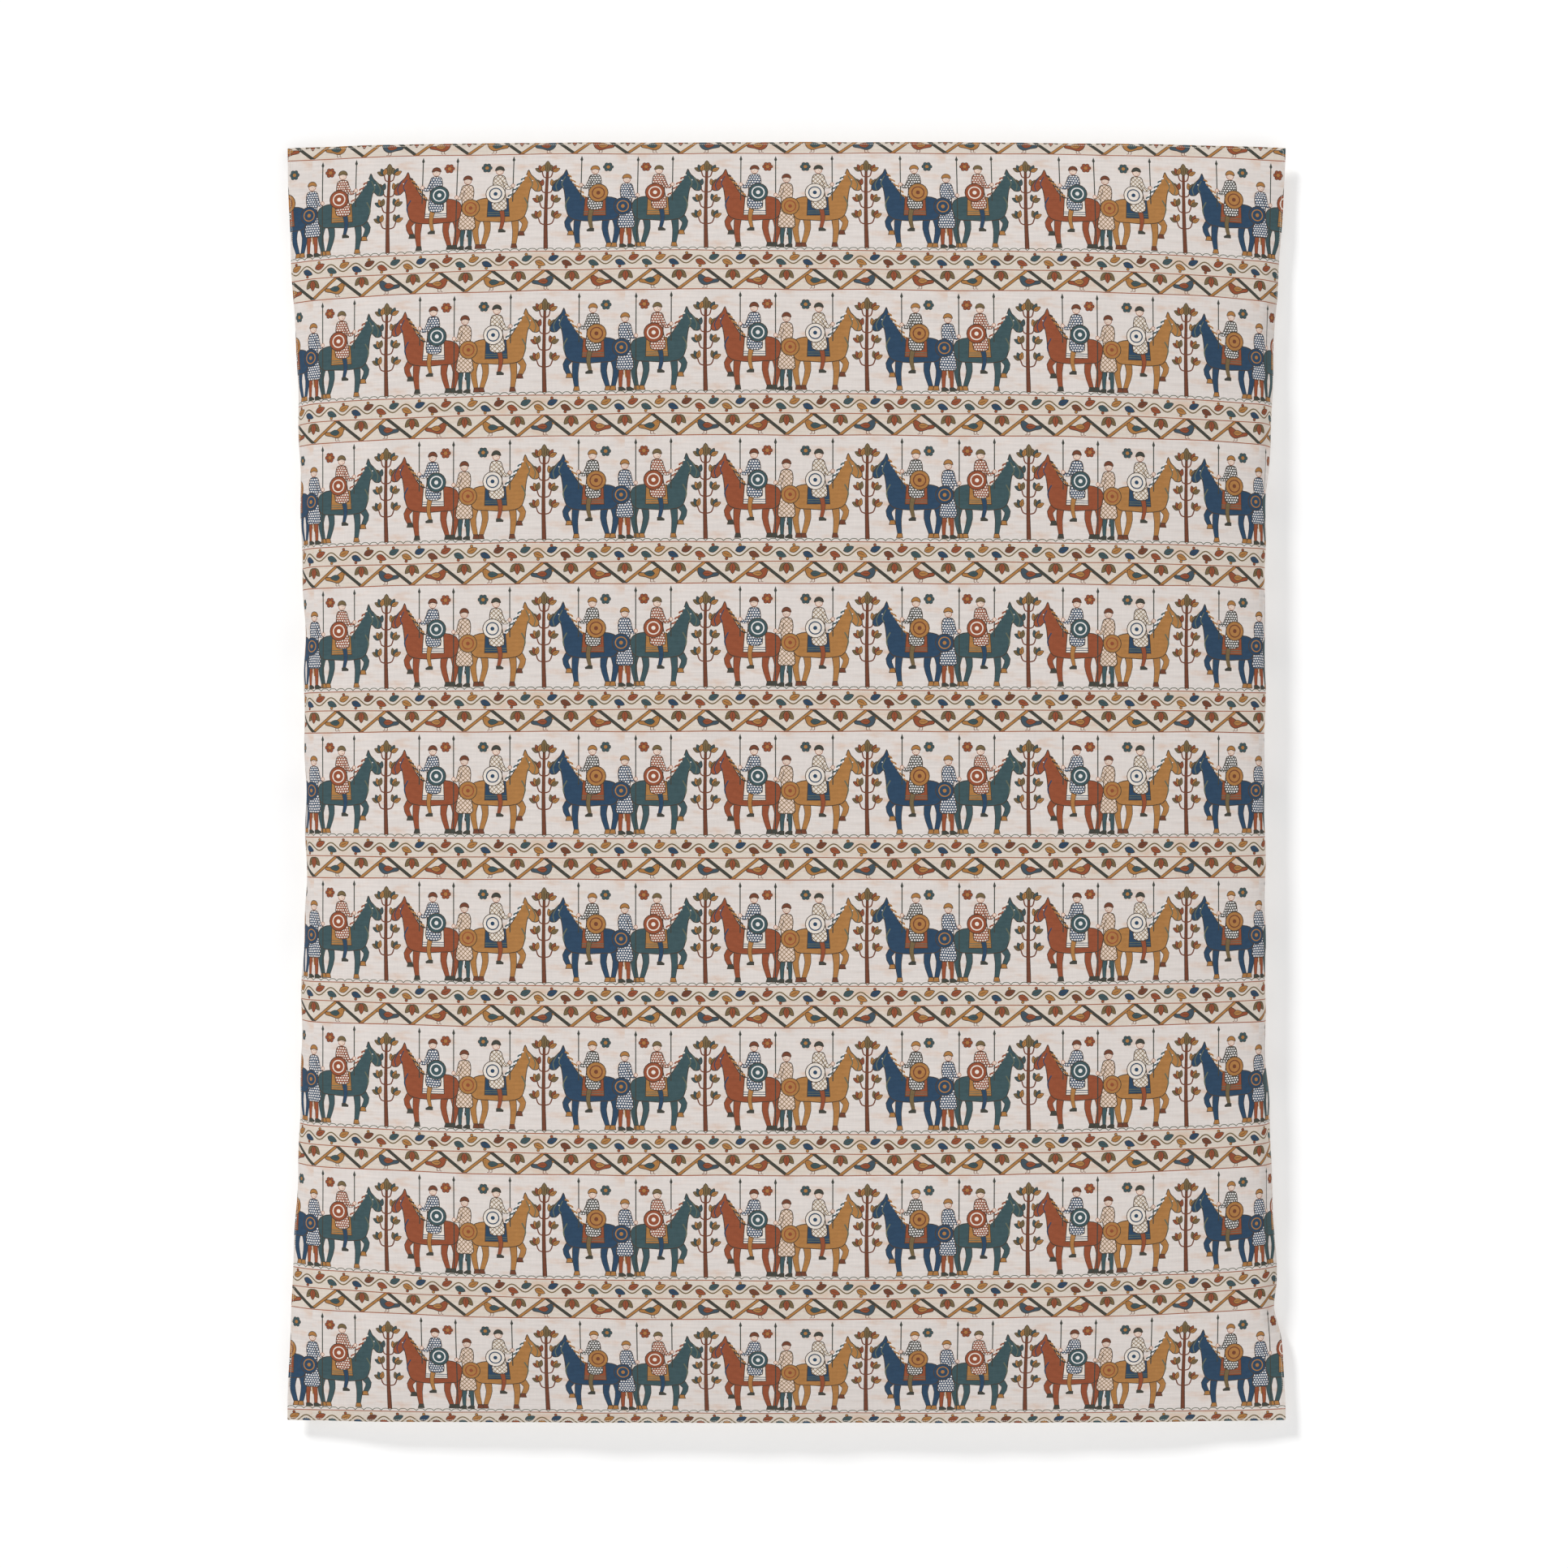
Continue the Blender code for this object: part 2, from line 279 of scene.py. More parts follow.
def smooth_line(points, closed, steps=3):
    """A Catmull-Rom curve through the points."""
    count = len(points)
    spans = count if closed else count - 1
    line = []
    for i in range(spans):
        before = points[i - 1] if closed or i > 0 else points[i]
        start, end = points[i], points[(i + 1) % count]
        after = points[(i + 2) % count] if closed or i + 2 < count else end
        for step in range(steps):
            t = step / steps
            t2, t3 = t**2, t**3
            line.append(tuple(
                0.5 * (2 * b + (c - a) * t + (2 * a - 5 * b + 4 * c - d) * t2 + (3 * b - a - 3 * c + d) * t3)
                for a, b, c, d in zip(before, start, end, after)
            ))
    return line if closed else line + [points[-1]]


def area(points):
    return sum(x0 * y1 - x1 * y0 for (x0, y0), (x1, y1) in zip(points, points[1:] + points[:1])) / 2


def grown(points, distance):
    """A closed outline moved outwards by a distance, or inwards if it is negative."""
    turn = 1 if area(points) > 0 else -1
    moved = []
    for before, here, after in zip(points[-1:] + points[:-1], points, points[1:] + points[:1]):
        ax, ay = here[0] - before[0], here[1] - before[1]
        bx, by = after[0] - here[0], after[1] - here[1]
        la, lb = math.hypot(ax, ay) or 1, math.hypot(bx, by) or 1
        nx, ny = ay / la + by / lb, -ax / la - bx / lb
        size = math.hypot(nx, ny) or 1
        reach = distance * turn / max(size / 2, 0.6)
        moved.append((here[0] + nx / size * reach, here[1] + ny / size * reach))
    return moved


def fill(points, ink, line="outline", width=OUTLINE, curved=True, steps=3):
    """A closed shape of one ink with a drawn outline."""
    points = smooth_line(points, True, steps) if curved else list(points)
    if line:
        shapes.append((grown(points, width / 2), line))
        shapes.append((grown(points, -width / 2), ink))
    else:
        shapes.append((points, ink))


def stroke(points, ink="outline", width=0.9, curved=True, steps=3, taper=0.0):
    """An open line of one ink. taper is the share of its width that it loses on the way."""
    points = smooth_line(points, False, steps) if curved and len(points) > 2 else list(points)
    left, right = [], []
    last = len(points) - 1
    for i, (x, y) in enumerate(points):
        x0, y0 = points[max(i - 1, 0)]
        x1, y1 = points[min(i + 1, last)]
        size = math.hypot(x1 - x0, y1 - y0) or 1
        half = width / 2 * (1 - taper * i / last)
        left.append((x - (y1 - y0) / size * half, y + (x1 - x0) / size * half))
        right.append((x + (y1 - y0) / size * half, y - (x1 - x0) / size * half))
    shapes.append((left + right[::-1], ink))


def disc(x, y, radius, ink, sides=8):
    """A round spot with no outline."""
    turns = [2 * math.pi * k / sides for k in range(sides)]
    shapes.append(([(x + radius * math.cos(a), y + radius * math.sin(a)) for a in turns], ink))


def rimmed_disc(x, y, radius, ink, line="outline", rim=0.7, sides=8):
    """A round spot with an outline."""
    disc(x, y, radius, line, sides)
    disc(x, y, radius - rim, ink, sides)


def limb(points, ink, width, taper, edge=0.9):
    """A tapering line of one ink, outlined along both sides."""
    stroke(points, "outline", width + edge, taper=taper)
    stroke(points, ink, width - edge, taper=taper)


def placed(points, x, y, angle=0.0, flip=False):
    """Points drawn around (0, 0), flipped, turned by an angle in degrees and moved to (x, y)."""
    cosine, sine = math.cos(math.radians(angle)), math.sin(math.radians(angle))
    side = -1 if flip else 1
    return [(x + side * px * cosine - py * sine, y + side * px * sine + py * cosine) for px, py in points]


# The picture, a plain design of this script's own: pairs of horses that face each other across a tree, foot
# figures between the pairs, a vine below and a zigzag with birds and leaves, each at an even pitch

HORSES = 4  # in one repeat, with a tree and a foot figure between them in turn
VINE_WAVES = 12
ZIGZAGS = 6
HUMPS = 36
BARREL = 86  # how far down the middle of a horse's barrel lies
POLE_TOP = 13
BRIDLE = ([(39, -49), (44, -38), (41, -32)], [(46, -48), (52, -36), (50, -27)])
BREAST_STRAP = [(33, -18), (38, -8), (37, 0)]


def leaf(x, y, angle, length, ink):
    """A pointed leaf that grows from (x, y)."""
    half = length * 0.27
    side = [(length * 0.3, half), (length * 0.68, half * 0.8)]
    edge = [(0, 0)] + [(px, -py) for px, py in side] + [(length, 0)] + side[::-1]
    fill(placed(edge, x, y, angle), ink, width=0.8, steps=2)
    stroke(placed([(length * 0.15, 0), (length * 0.7, 0)], x, y, angle), width=0.6, curved=False)


def rosette(x, y, radius, ink):
    """Six round petals about a middle."""
    for k in range(6):
        turn = math.pi * k / 3
        rimmed_disc(x + radius * 0.6 * math.cos(turn), y + radius * 0.6 * math.sin(turn), radius * 0.42, ink)
    disc(x, y, radius * 0.34, "ochre")


def round_shield(x, y, radius, ink, ring):
    """A round shield with one ring and a boss."""
    for size, colour in ((1.0, "outline"), (0.92, ink), (0.66, ring), (0.54, ink), (0.2, ring)):
        disc(x, y, radius * size, colour, 18)


def pole(x, low, high):
    """An upright pole with a leaf-shaped point."""
    stroke([(x, low), (x, high)], "charcoal", 1.5, curved=False)
    fill([(x, high - 9), (x + 2, high - 3), (x, high + 1), (x - 2, high - 3)], "charcoal", None, curved=False)


def head(x, y, facing, cap):
    """A plain round face under a soft cap."""
    rimmed_disc(x, y, 5.4, "skin", "rustline", 0.8, 14)
    for eye_x in (0.4, 3.0):
        disc(x + facing * eye_x, y - 0.4, 0.5, "outline", 5)
    stroke([(x + facing * 0.8, y + 2.4), (x + facing * 2.8, y + 2.2)], "rustline", 0.5, curved=False)
    dome = [(-6.2, -1.4), (-4.6, -6.4), (0, -8.4), (4.6, -6.4), (6.2, -1.4), (0, -3)]
    fill(placed(dome, x, y), cap, width=0.9)


def sleeve(points, ink):
    """An arm along a line, with a round hand at its end."""
    limb(points, ink, 5.4, 0.3)
    rimmed_disc(*points[-1], 3.0, "skin", "rustline")


def leg(points, ink, facing, width):
    """A leg along a line, with a round-toed shoe."""
    limb(points, ink, width, 0.45)
    sole = [(-2.8, -1.6), (2.5, -2.2), (7, 0.6), (6.6, 2.6), (-2.8, 2.6)]
    fill(placed(sole, *points[-1], flip=facing < 0), "charcoal", width=0.7, curved=False)


def foot_figure(x, facing, tunic, hose, cap, shield, ring):
    """A figure that stands with an upright pole in front and a round shield at its side."""
    pole(x + facing * 15, 142, POLE_TOP + 1)
    for foot_x in (-6, 5):
        leg([(x + foot_x * 0.7, 106), (x + foot_x, 124), (x + foot_x, 139)], hose, facing, 7.0)
    body = [(-6, 49), (6, 49), (9, 60), (7, 80), (12, 110), (0, 113), (-12, 110), (-7, 80), (-9, 60)]
    fill(placed(body, x, 0), tunic)
    stroke([(x - 7, 82), (x + 7, 82)], "brown", 2.2, curved=False)
    head(x, 42, facing, cap)
    sleeve([(x + facing * 6, 55), (x + facing * 10, 68), (x + facing * 15, 66)], tunic)
    round_shield(x - facing * 5, 82, 13, shield, ring)


def horse(x, facing, coat, hoof, mane, blanket, trim):
    """A horse that walks, one foreleg raised. x is the middle of its barrel."""
    def at(points):
        return placed(points, x, BARREL, flip=facing < 0)

    legs = (
        [(-20, 8), (-17, 28), (-23, 51)],
        [(24, 6), (35, 19), (30, 33)],
        [(-29, 6), (-34, 27), (-30, 51)],
        [(20, 8), (22, 30), (20, 51)],
    )
    for line in legs:
        limb(at(line), coat, 10.6, 0.45, edge=1.0)
        wall = placed([(-3, -2), (3, -2), (4.6, 4), (-4, 4)], *line[-1])
        fill(at(wall), hoof, width=0.9, curved=False)
    for k in range(5):
        tail = [(-35, -8), (-42 - 1.6 * k, 2), (-39 - 1.8 * k, 16 + 2 * k), (-43 - 1.2 * k, 30 + 2 * k)]
        stroke(at(tail), mane[k % 2], 2.0, steps=2)
    fill(at([
        (-39, 0), (-35, -13), (-20, -18), (-2, -15), (12, -17), (22, -29), (30, -44), (35, -52), (38, -60),
        (42, -52), (50, -44), (57, -33), (55, -27), (48, -27), (42, -32), (39, -18), (37, 0), (30, 13),
        (8, 17), (-14, 16), (-32, 14),
    ]), coat)
    for k in range(9):
        lock = placed([(0, 0), (-4.5, 1.5), (-5, 8)], 36 - 2.9 * k, -51 + 4.1 * k)
        stroke(at(lock), mane[k % 2], 2.2, steps=2)
    disc(*at([(44, -43)])[0], 0.9, "white", 6)
    for strap in BRIDLE:
        stroke(at(strap), trim, 1.3)
    stroke(at(BREAST_STRAP), trim, 1.8)
    fill(at([(-17, -18), (11, -17), (13, 9), (-18, 9)]), blanket, width=1.0, curved=False)
    for y in (6, 3):
        stroke(at([(-17.5, y), (12.5, y)]), trim, 1.0, curved=False)


def rider(x, facing, tunic, hose, cap, shield, ring):
    """A seated figure with an upright pole and a round shield."""
    pole(x + facing * 19, 74, POLE_TOP)
    leg([(x + facing * 2, 78), (x + facing * 6, 98), (x + facing * 3, 115)], hose, facing, 7.4)
    body = [(-6, 35), (6, 35), (9, 46), (8, 60), (11, 84), (-9, 84), (-8, 60), (-9, 46)]
    fill(placed(body, x, 0), tunic)
    head(x, 28, facing, cap)
    sleeve([(x + facing * 6, 42), (x + facing * 12, 54), (x + facing * 19, 50)], tunic)
    round_shield(x - facing * 5, 62, 14, shield, ring)


def tree(x, inks):
    """A straight tree with curved branches that carry leaves on both sides."""
    limb([(x, GROUND - 4), (x - 1, 90), (x, 26)], "brown", 5.5, 0.4)
    leaf(x, 30, -90, 18, inks[0])
    for level in range(4):
        y = 108 - 23 * level
        reach = 11 - 1.2 * level
        for side in (-1, 1):
            tip = (x + side * reach, y - 10)
            stroke([(x, y), (x + side * reach * 0.7, y - 2), tip], "brown", 1.8)
            for k, spread in enumerate((-38, 0, 38)):
                leaf(*tip, -90 + side * 24 + spread, 11, inks[(level + k) % len(inks)])


def bird(x, y, flip, coat, wing):
    """A plump bird that stands, in profile."""
    def at(points):
        return placed(points, x, y, flip=flip)

    for foot_x in (-1.5, 2.5):
        stroke(at([(foot_x, 4), (foot_x, 9.4), (foot_x + 2.6, 9.6)]), "brown", 0.9, curved=False)
    fill(at([
        (-17, -3), (-9, -3), (0, -5.5), (6, -9.5), (10, -9), (11, -5), (8, 2), (1, 5.6), (-8, 3), (-17, 1),
    ]), coat, width=1.0)
    fill(at([(10.4, -8), (15, -6), (10.6, -5)]), "ochre", width=0.7, curved=False)
    leaf(*at([(4, -2)])[0], 0 if flip else 180, 14, wing)
    disc(*at([(8, -7)])[0], 0.6, "outline", 5)


def vine():
    """A stem that waves along the row under the ground line, with a leaf and a berry in every bend."""
    middle = (GROUND + BORDER) / 2
    steps = 8 * VINE_WAVES
    turns = [math.tau * VINE_WAVES * k / steps for k in range(steps + 1)]
    stem = [(REPEAT_WIDTH * k / steps, middle + 5.5 * math.sin(turn)) for k, turn in enumerate(turns)]
    stroke(stem, "olive", 1.8, steps=2)
    bends = 2 * VINE_WAVES
    for k in range(bends):
        x = REPEAT_WIDTH * (k + 0.5) / bends
        side = 1 if k % 2 else -1
        leaf(x - 5, middle + side, side * 22, 15, ("rust", "teal", "ochre", "navy", "brown")[k % 5])
        rimmed_disc(x + 1, middle + side * 9.4, 2.4, ("ochre", "rust")[k // 2 % 2])


def zigzag():
    """Bars that zigzag along the lowest row, with a bird in every lower gap and leaves in every upper one."""
    pitch = REPEAT_WIDTH / ZIGZAGS
    for k in range(ZIGZAGS):
        x = k * pitch
        peak = x + pitch / 2
        for foot, ink in ((x, "ochre"), (x + pitch, "charcoal")):
            low, high = REPEAT_HEIGHT, BORDER
            bar = [(foot - 3, low), (foot + 3, low), (peak + 3, high), (peak - 3, high)]
            fill(bar, ink, width=1.0, curved=False)
        coat, wing = (("ochre", "teal"), ("navyteal", "rust"), ("rust", "ochre"))[k % 3]
        bird(peak, REPEAT_HEIGHT - 10.5, k % 2 == 1, coat, wing)
        for turn, colour in ((50, "olive"), (130, "olive"), (90, "rust")):
            leaf(x, BORDER + 2, turn, 15, colour)


def ground_line():
    """Low humps of earth under the main scene."""
    step = REPEAT_WIDTH / HUMPS
    low, high = GROUND - 1.6, GROUND - 4.4
    for k in range(HUMPS):
        x = k * step
        hump = [(x, low), (x + step * 0.25, high), (x + step * 0.75, high), (x + step, low)]
        stroke(hump, "strap", 1.1, steps=2)


def ruled_line(y):
    """A stitched line across the repeat that wavers a little."""
    steps = 60
    turns = [2 * math.tau * k / steps for k in range(steps + 1)]
    line = [(REPEAT_WIDTH * k / steps, y + 0.5 * math.sin(turn + y)) for k, turn in enumerate(turns)]
    stroke(line, "rustline", 1.3, curved=False)


# Coat, hooves, strands of the mane, blanket and trim of each horse
MOUNTS = (
    ("teal", "ochre", ("cream", "rust"), "ochre", "strap"),
    ("rust", "charcoal", ("outline", "ochre"), "cream", "navy"),
    ("ochre", "brown", ("white", "teal"), "navy", "strap"),
    ("navy", "ochre", ("ochre", "cream"), "rust", "strap"),
)
# Tunic, hose, cap, shield and ring of each rider and of each foot figure
RIDERS = (
    ("mail_rust", "navy", "olive", "rust", "cream"),
    ("mail_blue", "ochre", "brown", "teal", "white"),
    ("lozenge", "rust", "charcoal", "cream", "navy"),
    ("mail_grey", "olive", "ochre", "ochre", "brown"),
)
GUARDS = (
    ("mail_blue", "rust", "ochre", "navy", "ochre"),
    ("lozenge_tan", "teal", "brown", "ochre", "rust"),
)
FOLIAGE = (("olive", "teal", "ochre"), ("olive", "rust", "ochre"))


def draw_repeat():
    """The whole print of one repeat, as outlines and their inks."""
    band = [(0, GROUND), (REPEAT_WIDTH, GROUND), (REPEAT_WIDTH, REPEAT_HEIGHT), (0, REPEAT_HEIGHT)]
    fill(band, "band_linen", None, curved=False)
    zigzag()
    vine()
    for y in (1.0, GROUND, BORDER):
        ruled_line(y)
    ground_line()
    pitch = REPEAT_WIDTH / HORSES
    for k, inks in enumerate(FOLIAGE):
        tree((2 * k + 1) * pitch, inks)
    for k, (mount, inks) in enumerate(zip(MOUNTS, RIDERS)):
        facing = -1 if k % 2 else 1
        x = (k + 0.5) * pitch - facing * 9
        horse(x, facing, *mount)
        rider(x - facing * 2, facing, *inks)
        rosette(x - facing * 20, 22, 7.5, ("rust", "teal")[k // 2])
    for k, inks in enumerate(GUARDS):
        foot_figure(2 * k * pitch, -1 if k else 1, *inks)
    return shapes


# From the drawing to triangles of one ink each

REPEATS_ACROSS = 3
LEFT_SEAM = -REPEATS_ACROSS / 2 * REPEAT_WIDTH  # millimetres from the cloth's centre line
FIRST_LINE = -17.5  # millimetres up from the cloth's top edge
FACE_TOLERANCE = 0.12  # how far a thinned outline may stray, in millimetres
BACK_TOLERANCE = 0.5
FACE_STEP, BACK_STEP = 6.0, 8.0  # longest span of a line, so that it bends with the cloth, in millimetres
BACK_SMALLEST = 20.0  # square millimetres that show through to the back


def with_wraps(drawn):
    """The drawn shapes, each with its copies a repeat away where it reaches over a side of the repeat."""
    size = np.array((REPEAT_WIDTH, REPEAT_HEIGHT))
    least = 0.05  # millimetres over a side that count
    every = []
    for outline, ink in drawn:
        for column in (0, 1, -1):
            for row in (0, 1, -1):
                moved = np.array(outline) + size * (column, row)
                if (moved.max(axis=0) > least).all() and (moved.min(axis=0) < size - least).all():
                    every.append((moved, INK_NAMES.index(ink)))
    return every


def inside(x, y, outline):
    """Which places lie inside a closed outline, by the even-odd rule."""
    hit = np.zeros(len(x), bool)
    for (x0, y0), (x1, y1) in zip(outline, np.roll(outline, -1, axis=0)):
        if y0 != y1:
            hit ^= ((y0 > y) != (y1 > y)) & (x < x0 + (x1 - x0) * (y - y0) / (y1 - y0))
    return hit


def ink_on_top(places, outlines):
    """The ink on top at each place of one repeat."""
    x, y = places.T
    inks = np.zeros(len(places), int)
    for outline, ink in outlines:
        (left, low), (right, high) = outline.min(axis=0), outline.max(axis=0)
        near = np.flatnonzero((x > left) & (x < right) & (y > low) & (y < high))
        inks[near[inside(x[near], y[near], outline)]] = ink
    return inks


def triangulate(points, edges):
    """Triangles over all the points that keep every edge, with the points made where edges cross."""
    result = delaunay_2d_cdt([Vector(p) for p in points], edges, [], 0, 1e-5, False)
    return np.array([tuple(p) for p in result[0]]), np.array(result[2])


def meeting_edges(triangles, inks):
    """The sides that two triangles of different inks share."""
    sides = np.concatenate([triangles[:, [0, 1]], triangles[:, [1, 2]], triangles[:, [2, 0]]])
    sides = np.sort(sides, axis=1)
    order = np.lexsort(sides.T)
    sides, inks = sides[order], np.tile(inks, 3)[order]
    shared = (sides[1:] == sides[:-1]).all(axis=1)
    return sides[1:][shared & (inks[1:] != inks[:-1])]


def chains(edges):
    """Runs of edges, each from one junction to the next or once around a ring."""
    neighbours = {}
    for a, b in edges.tolist():
        neighbours.setdefault(a, []).append(b)
        neighbours.setdefault(b, []).append(a)
    walked = set()
    junctions = [point for point, near in neighbours.items() if len(near) != 2]
    for start in junctions + list(neighbours):
        for first in neighbours[start]:
            if (start, first) in walked:
                continue
            chain = [start, first]
            while chain[-1] != start and len(neighbours[chain[-1]]) == 2:
                one, other = neighbours[chain[-1]]
                chain.append(other if one == chain[-2] else one)
            walked.update(zip(chain, chain[1:]))
            walked.update(zip(chain[1:], chain))
            yield chain


def thinned(line, tolerance):
    """Only those points of a line that its shape needs."""
    kept = {0, len(line) - 1}
    spans = [(0, len(line) - 1)]
    while spans:
        first, last = spans.pop()
        if last - first < 2:
            continue
        along = line[last] - line[first]
        rest = line[first + 1:last] - line[first]
        length = math.hypot(*along)
        if length > 1e-6:
            stray = abs(along[0] * rest[:, 1] - along[1] * rest[:, 0]) / length
        else:
            stray = np.hypot(*rest.T)
        if stray.max() > tolerance:
            middle = first + 1 + int(stray.argmax())
            kept.add(middle)
            spans += [(first, middle), (middle, last)]
    return line[sorted(kept)]


def divided(line, longest):
    """The line with points added until no span is longer than this."""
    points = [line[0]]
    for start, end in zip(line, line[1:]):
        count = math.ceil(math.hypot(*(end - start)) / longest)
        points += [start + (end - start) * k / count for k in range(1, count + 1)]
    return np.array(points)


def visible_lines(outlines, tolerance):
    """The lines where two inks meet in one repeat."""
    corners = np.array([(0, 0), (REPEAT_WIDTH, 0), (REPEAT_WIDTH, REPEAT_HEIGHT), (0, REPEAT_HEIGHT)])
    points, edges = [], []
    for outline in [corners] + [outline for outline, _ in outlines]:
        start, count = len(points), len(outline)
        points += outline.tolist()
        edges += [(start + k, start + (k + 1) % count) for k in range(count)]
    points, triangles = triangulate(points, edges)
    centres = points[triangles].mean(axis=1)
    kept = (centres > 0).all(axis=1) & (centres < (REPEAT_WIDTH, REPEAT_HEIGHT)).all(axis=1)
    edges = meeting_edges(triangles[kept], ink_on_top(centres[kept], outlines))
    return [thinned(points[chain], tolerance) for chain in chains(edges)]


def in_repeat(places):
    """Places of the cloth, in millimetres, as places of the repeat."""
    x = (places[:, 0] - LEFT_SEAM) % REPEAT_WIDTH
    y = (FIRST_LINE - places[:, 1]) % ROW_PITCH * (REPEAT_HEIGHT / ROW_PITCH)
    return np.stack([x, y], axis=-1)


def grid_places(half_width, top, bottom):
    """Points, in millimetres, that let the plain cloth bend. They lie closer where the sides turn back."""
    wide, fine, turning = 16.0, 4.0, 48.0
    tall, stagger = 14.0, 3.5
    inner = half_width - turning
    us = np.concatenate([
        np.arange(-half_width + fine, -inner, fine),
        np.linspace(-inner, inner, round(2 * inner / wide)),
        np.arange(inner + fine, half_width - fine / 2, fine),
    ])
    vs = np.linspace(bottom, top, round((top - bottom) / tall) + 1)[1:-1]
    return [(u, v + (stagger if k % 2 else -stagger)) for k, u in enumerate(us) for v in vs]


def cut_print(outlines, tolerance, us, vs, step):
    """The print over the flat cloth as (points in metres, triangles, inks). us and vs are lines to keep, in
    metres. The outermost ones bound the cloth. No line has a span longer than step, in millimetres."""
    us, vs = np.sort(us) / MM, np.sort(vs) / MM
    points, edges = [], []

    def add_line(line):
        start = len(points)
        points.extend(line)
        edges.extend((start + k, start + k + 1) for k in range(len(line) - 1))

    lines = [divided(line, step) for line in visible_lines(outlines, tolerance)]
    rows = range(-1, math.ceil((FIRST_LINE - vs[0]) / ROW_PITCH))
    for row in rows:
        for column in range(-1, REPEATS_ACROSS + 1):
            for line in lines:
                u = LEFT_SEAM + column * REPEAT_WIDTH + line[:, 0]
                v = FIRST_LINE - row * ROW_PITCH - line[:, 1] * (ROW_PITCH / REPEAT_HEIGHT)
                if u.max() > us[0] and u.min() < us[-1] and v.max() > vs[0] and v.min() < vs[-1]:
                    add_line(np.stack([u, v], axis=-1).tolist())
    for seam in range(REPEATS_ACROSS + 1):
        u = LEFT_SEAM + seam * REPEAT_WIDTH
        add_line([(u, vs[0]), (u, vs[-1])])
    for u in us:
        add_line([(u, v) for v in np.linspace(vs[0], vs[-1], round((vs[-1] - vs[0]) / step) + 1)])
    for v in vs:
        add_line([(u, v) for u in np.linspace(us[0], us[-1], round((us[-1] - us[0]) / step) + 1)])
    points += grid_places(us[-1], vs[-1], vs[0])
    points, triangles = triangulate(points, edges)
    centres = points[triangles].mean(axis=1)
    kept = (centres > (us[0], vs[0])).all(axis=1) & (centres < (us[-1], vs[-1])).all(axis=1)
    inks = ink_on_top(in_repeat(centres[kept]), outlines)
    return points * MM, triangles[kept], inks


def mesh_object(name, points, faces, smooth=True):
    """A new object from an array of points and an array of faces with the same number of corners each."""
    mesh = bpy.data.meshes.new(name)
    faces = np.asarray(faces)
    count, corners = faces.shape
    mesh.vertices.add(len(points))
    mesh.vertices.foreach_set("co", np.asarray(points, np.float32).ravel())
    mesh.loops.add(count * corners)
    mesh.loops.foreach_set("vertex_index", faces.ravel().astype(np.int32))
    mesh.polygons.add(count)
    mesh.polygons.foreach_set("loop_start", np.arange(0, count * corners, corners, dtype=np.int32))
    mesh.polygons.foreach_set("use_smooth", np.full(count, smooth))
    mesh.update(calc_edges=True)
    piece = bpy.data.objects.new(name, mesh)
    bpy.context.scene.collection.objects.link(piece)
    return piece


def set_attribute(piece, name, kind, domain, values):
    attribute = piece.data.attributes.new(name, kind, domain)
    field = "color" if kind == "FLOAT_COLOR" else "vector"
    attribute.data.foreach_set(field, np.asarray(values, np.float32).ravel())


def set_flat(piece, u, v):
    """Stores where each point lies on the flat cloth, for the weave and the figures of the print."""
    set_attribute(piece, "flat", "FLOAT_VECTOR", "POINT", np.stack([u, v, np.zeros_like(u)], axis=-1))


def linear(srgb):
    """A colour with channels from 0 to 255 as linear RGBA."""
    channels = np.array(srgb) / 255
    return (*np.where(channels < 0.04045, channels / 12.92, ((channels + 0.055) / 1.055) ** 2.4), 1.0)


def set_inks(piece, inks):
    """Stores each face's ink, the ink of its figure's lines and which figure it is."""
    grounds, lines, figures = [], [], []
    for name in INK_NAMES:
        ground, line, figure = FIGURES.get(name, (name, name, None))
        grounds.append(linear(INKS[ground]))
        lines.append(linear(INKS[line]))
        figures.append((figure == "rings", figure == "lozenges", "linen" in ground, 1))
    for attribute, table in (("ink", grounds), ("line_ink", lines), ("figure", figures)):
        set_attribute(piece, attribute, "FLOAT_COLOR", "FACE", np.array(table, float)[inks])


def cut_piece(name, points, triangles, inks, flat):
    """An object of some of the print's triangles, from its places in the room and on the flat cloth."""
    used, faces = np.unique(triangles, return_inverse=True)
    piece = mesh_object(name, points[used], faces.reshape(-1, 3))
    set_flat(piece, *flat[used].T)
    set_inks(piece, inks)
    return piece, used


# Materials

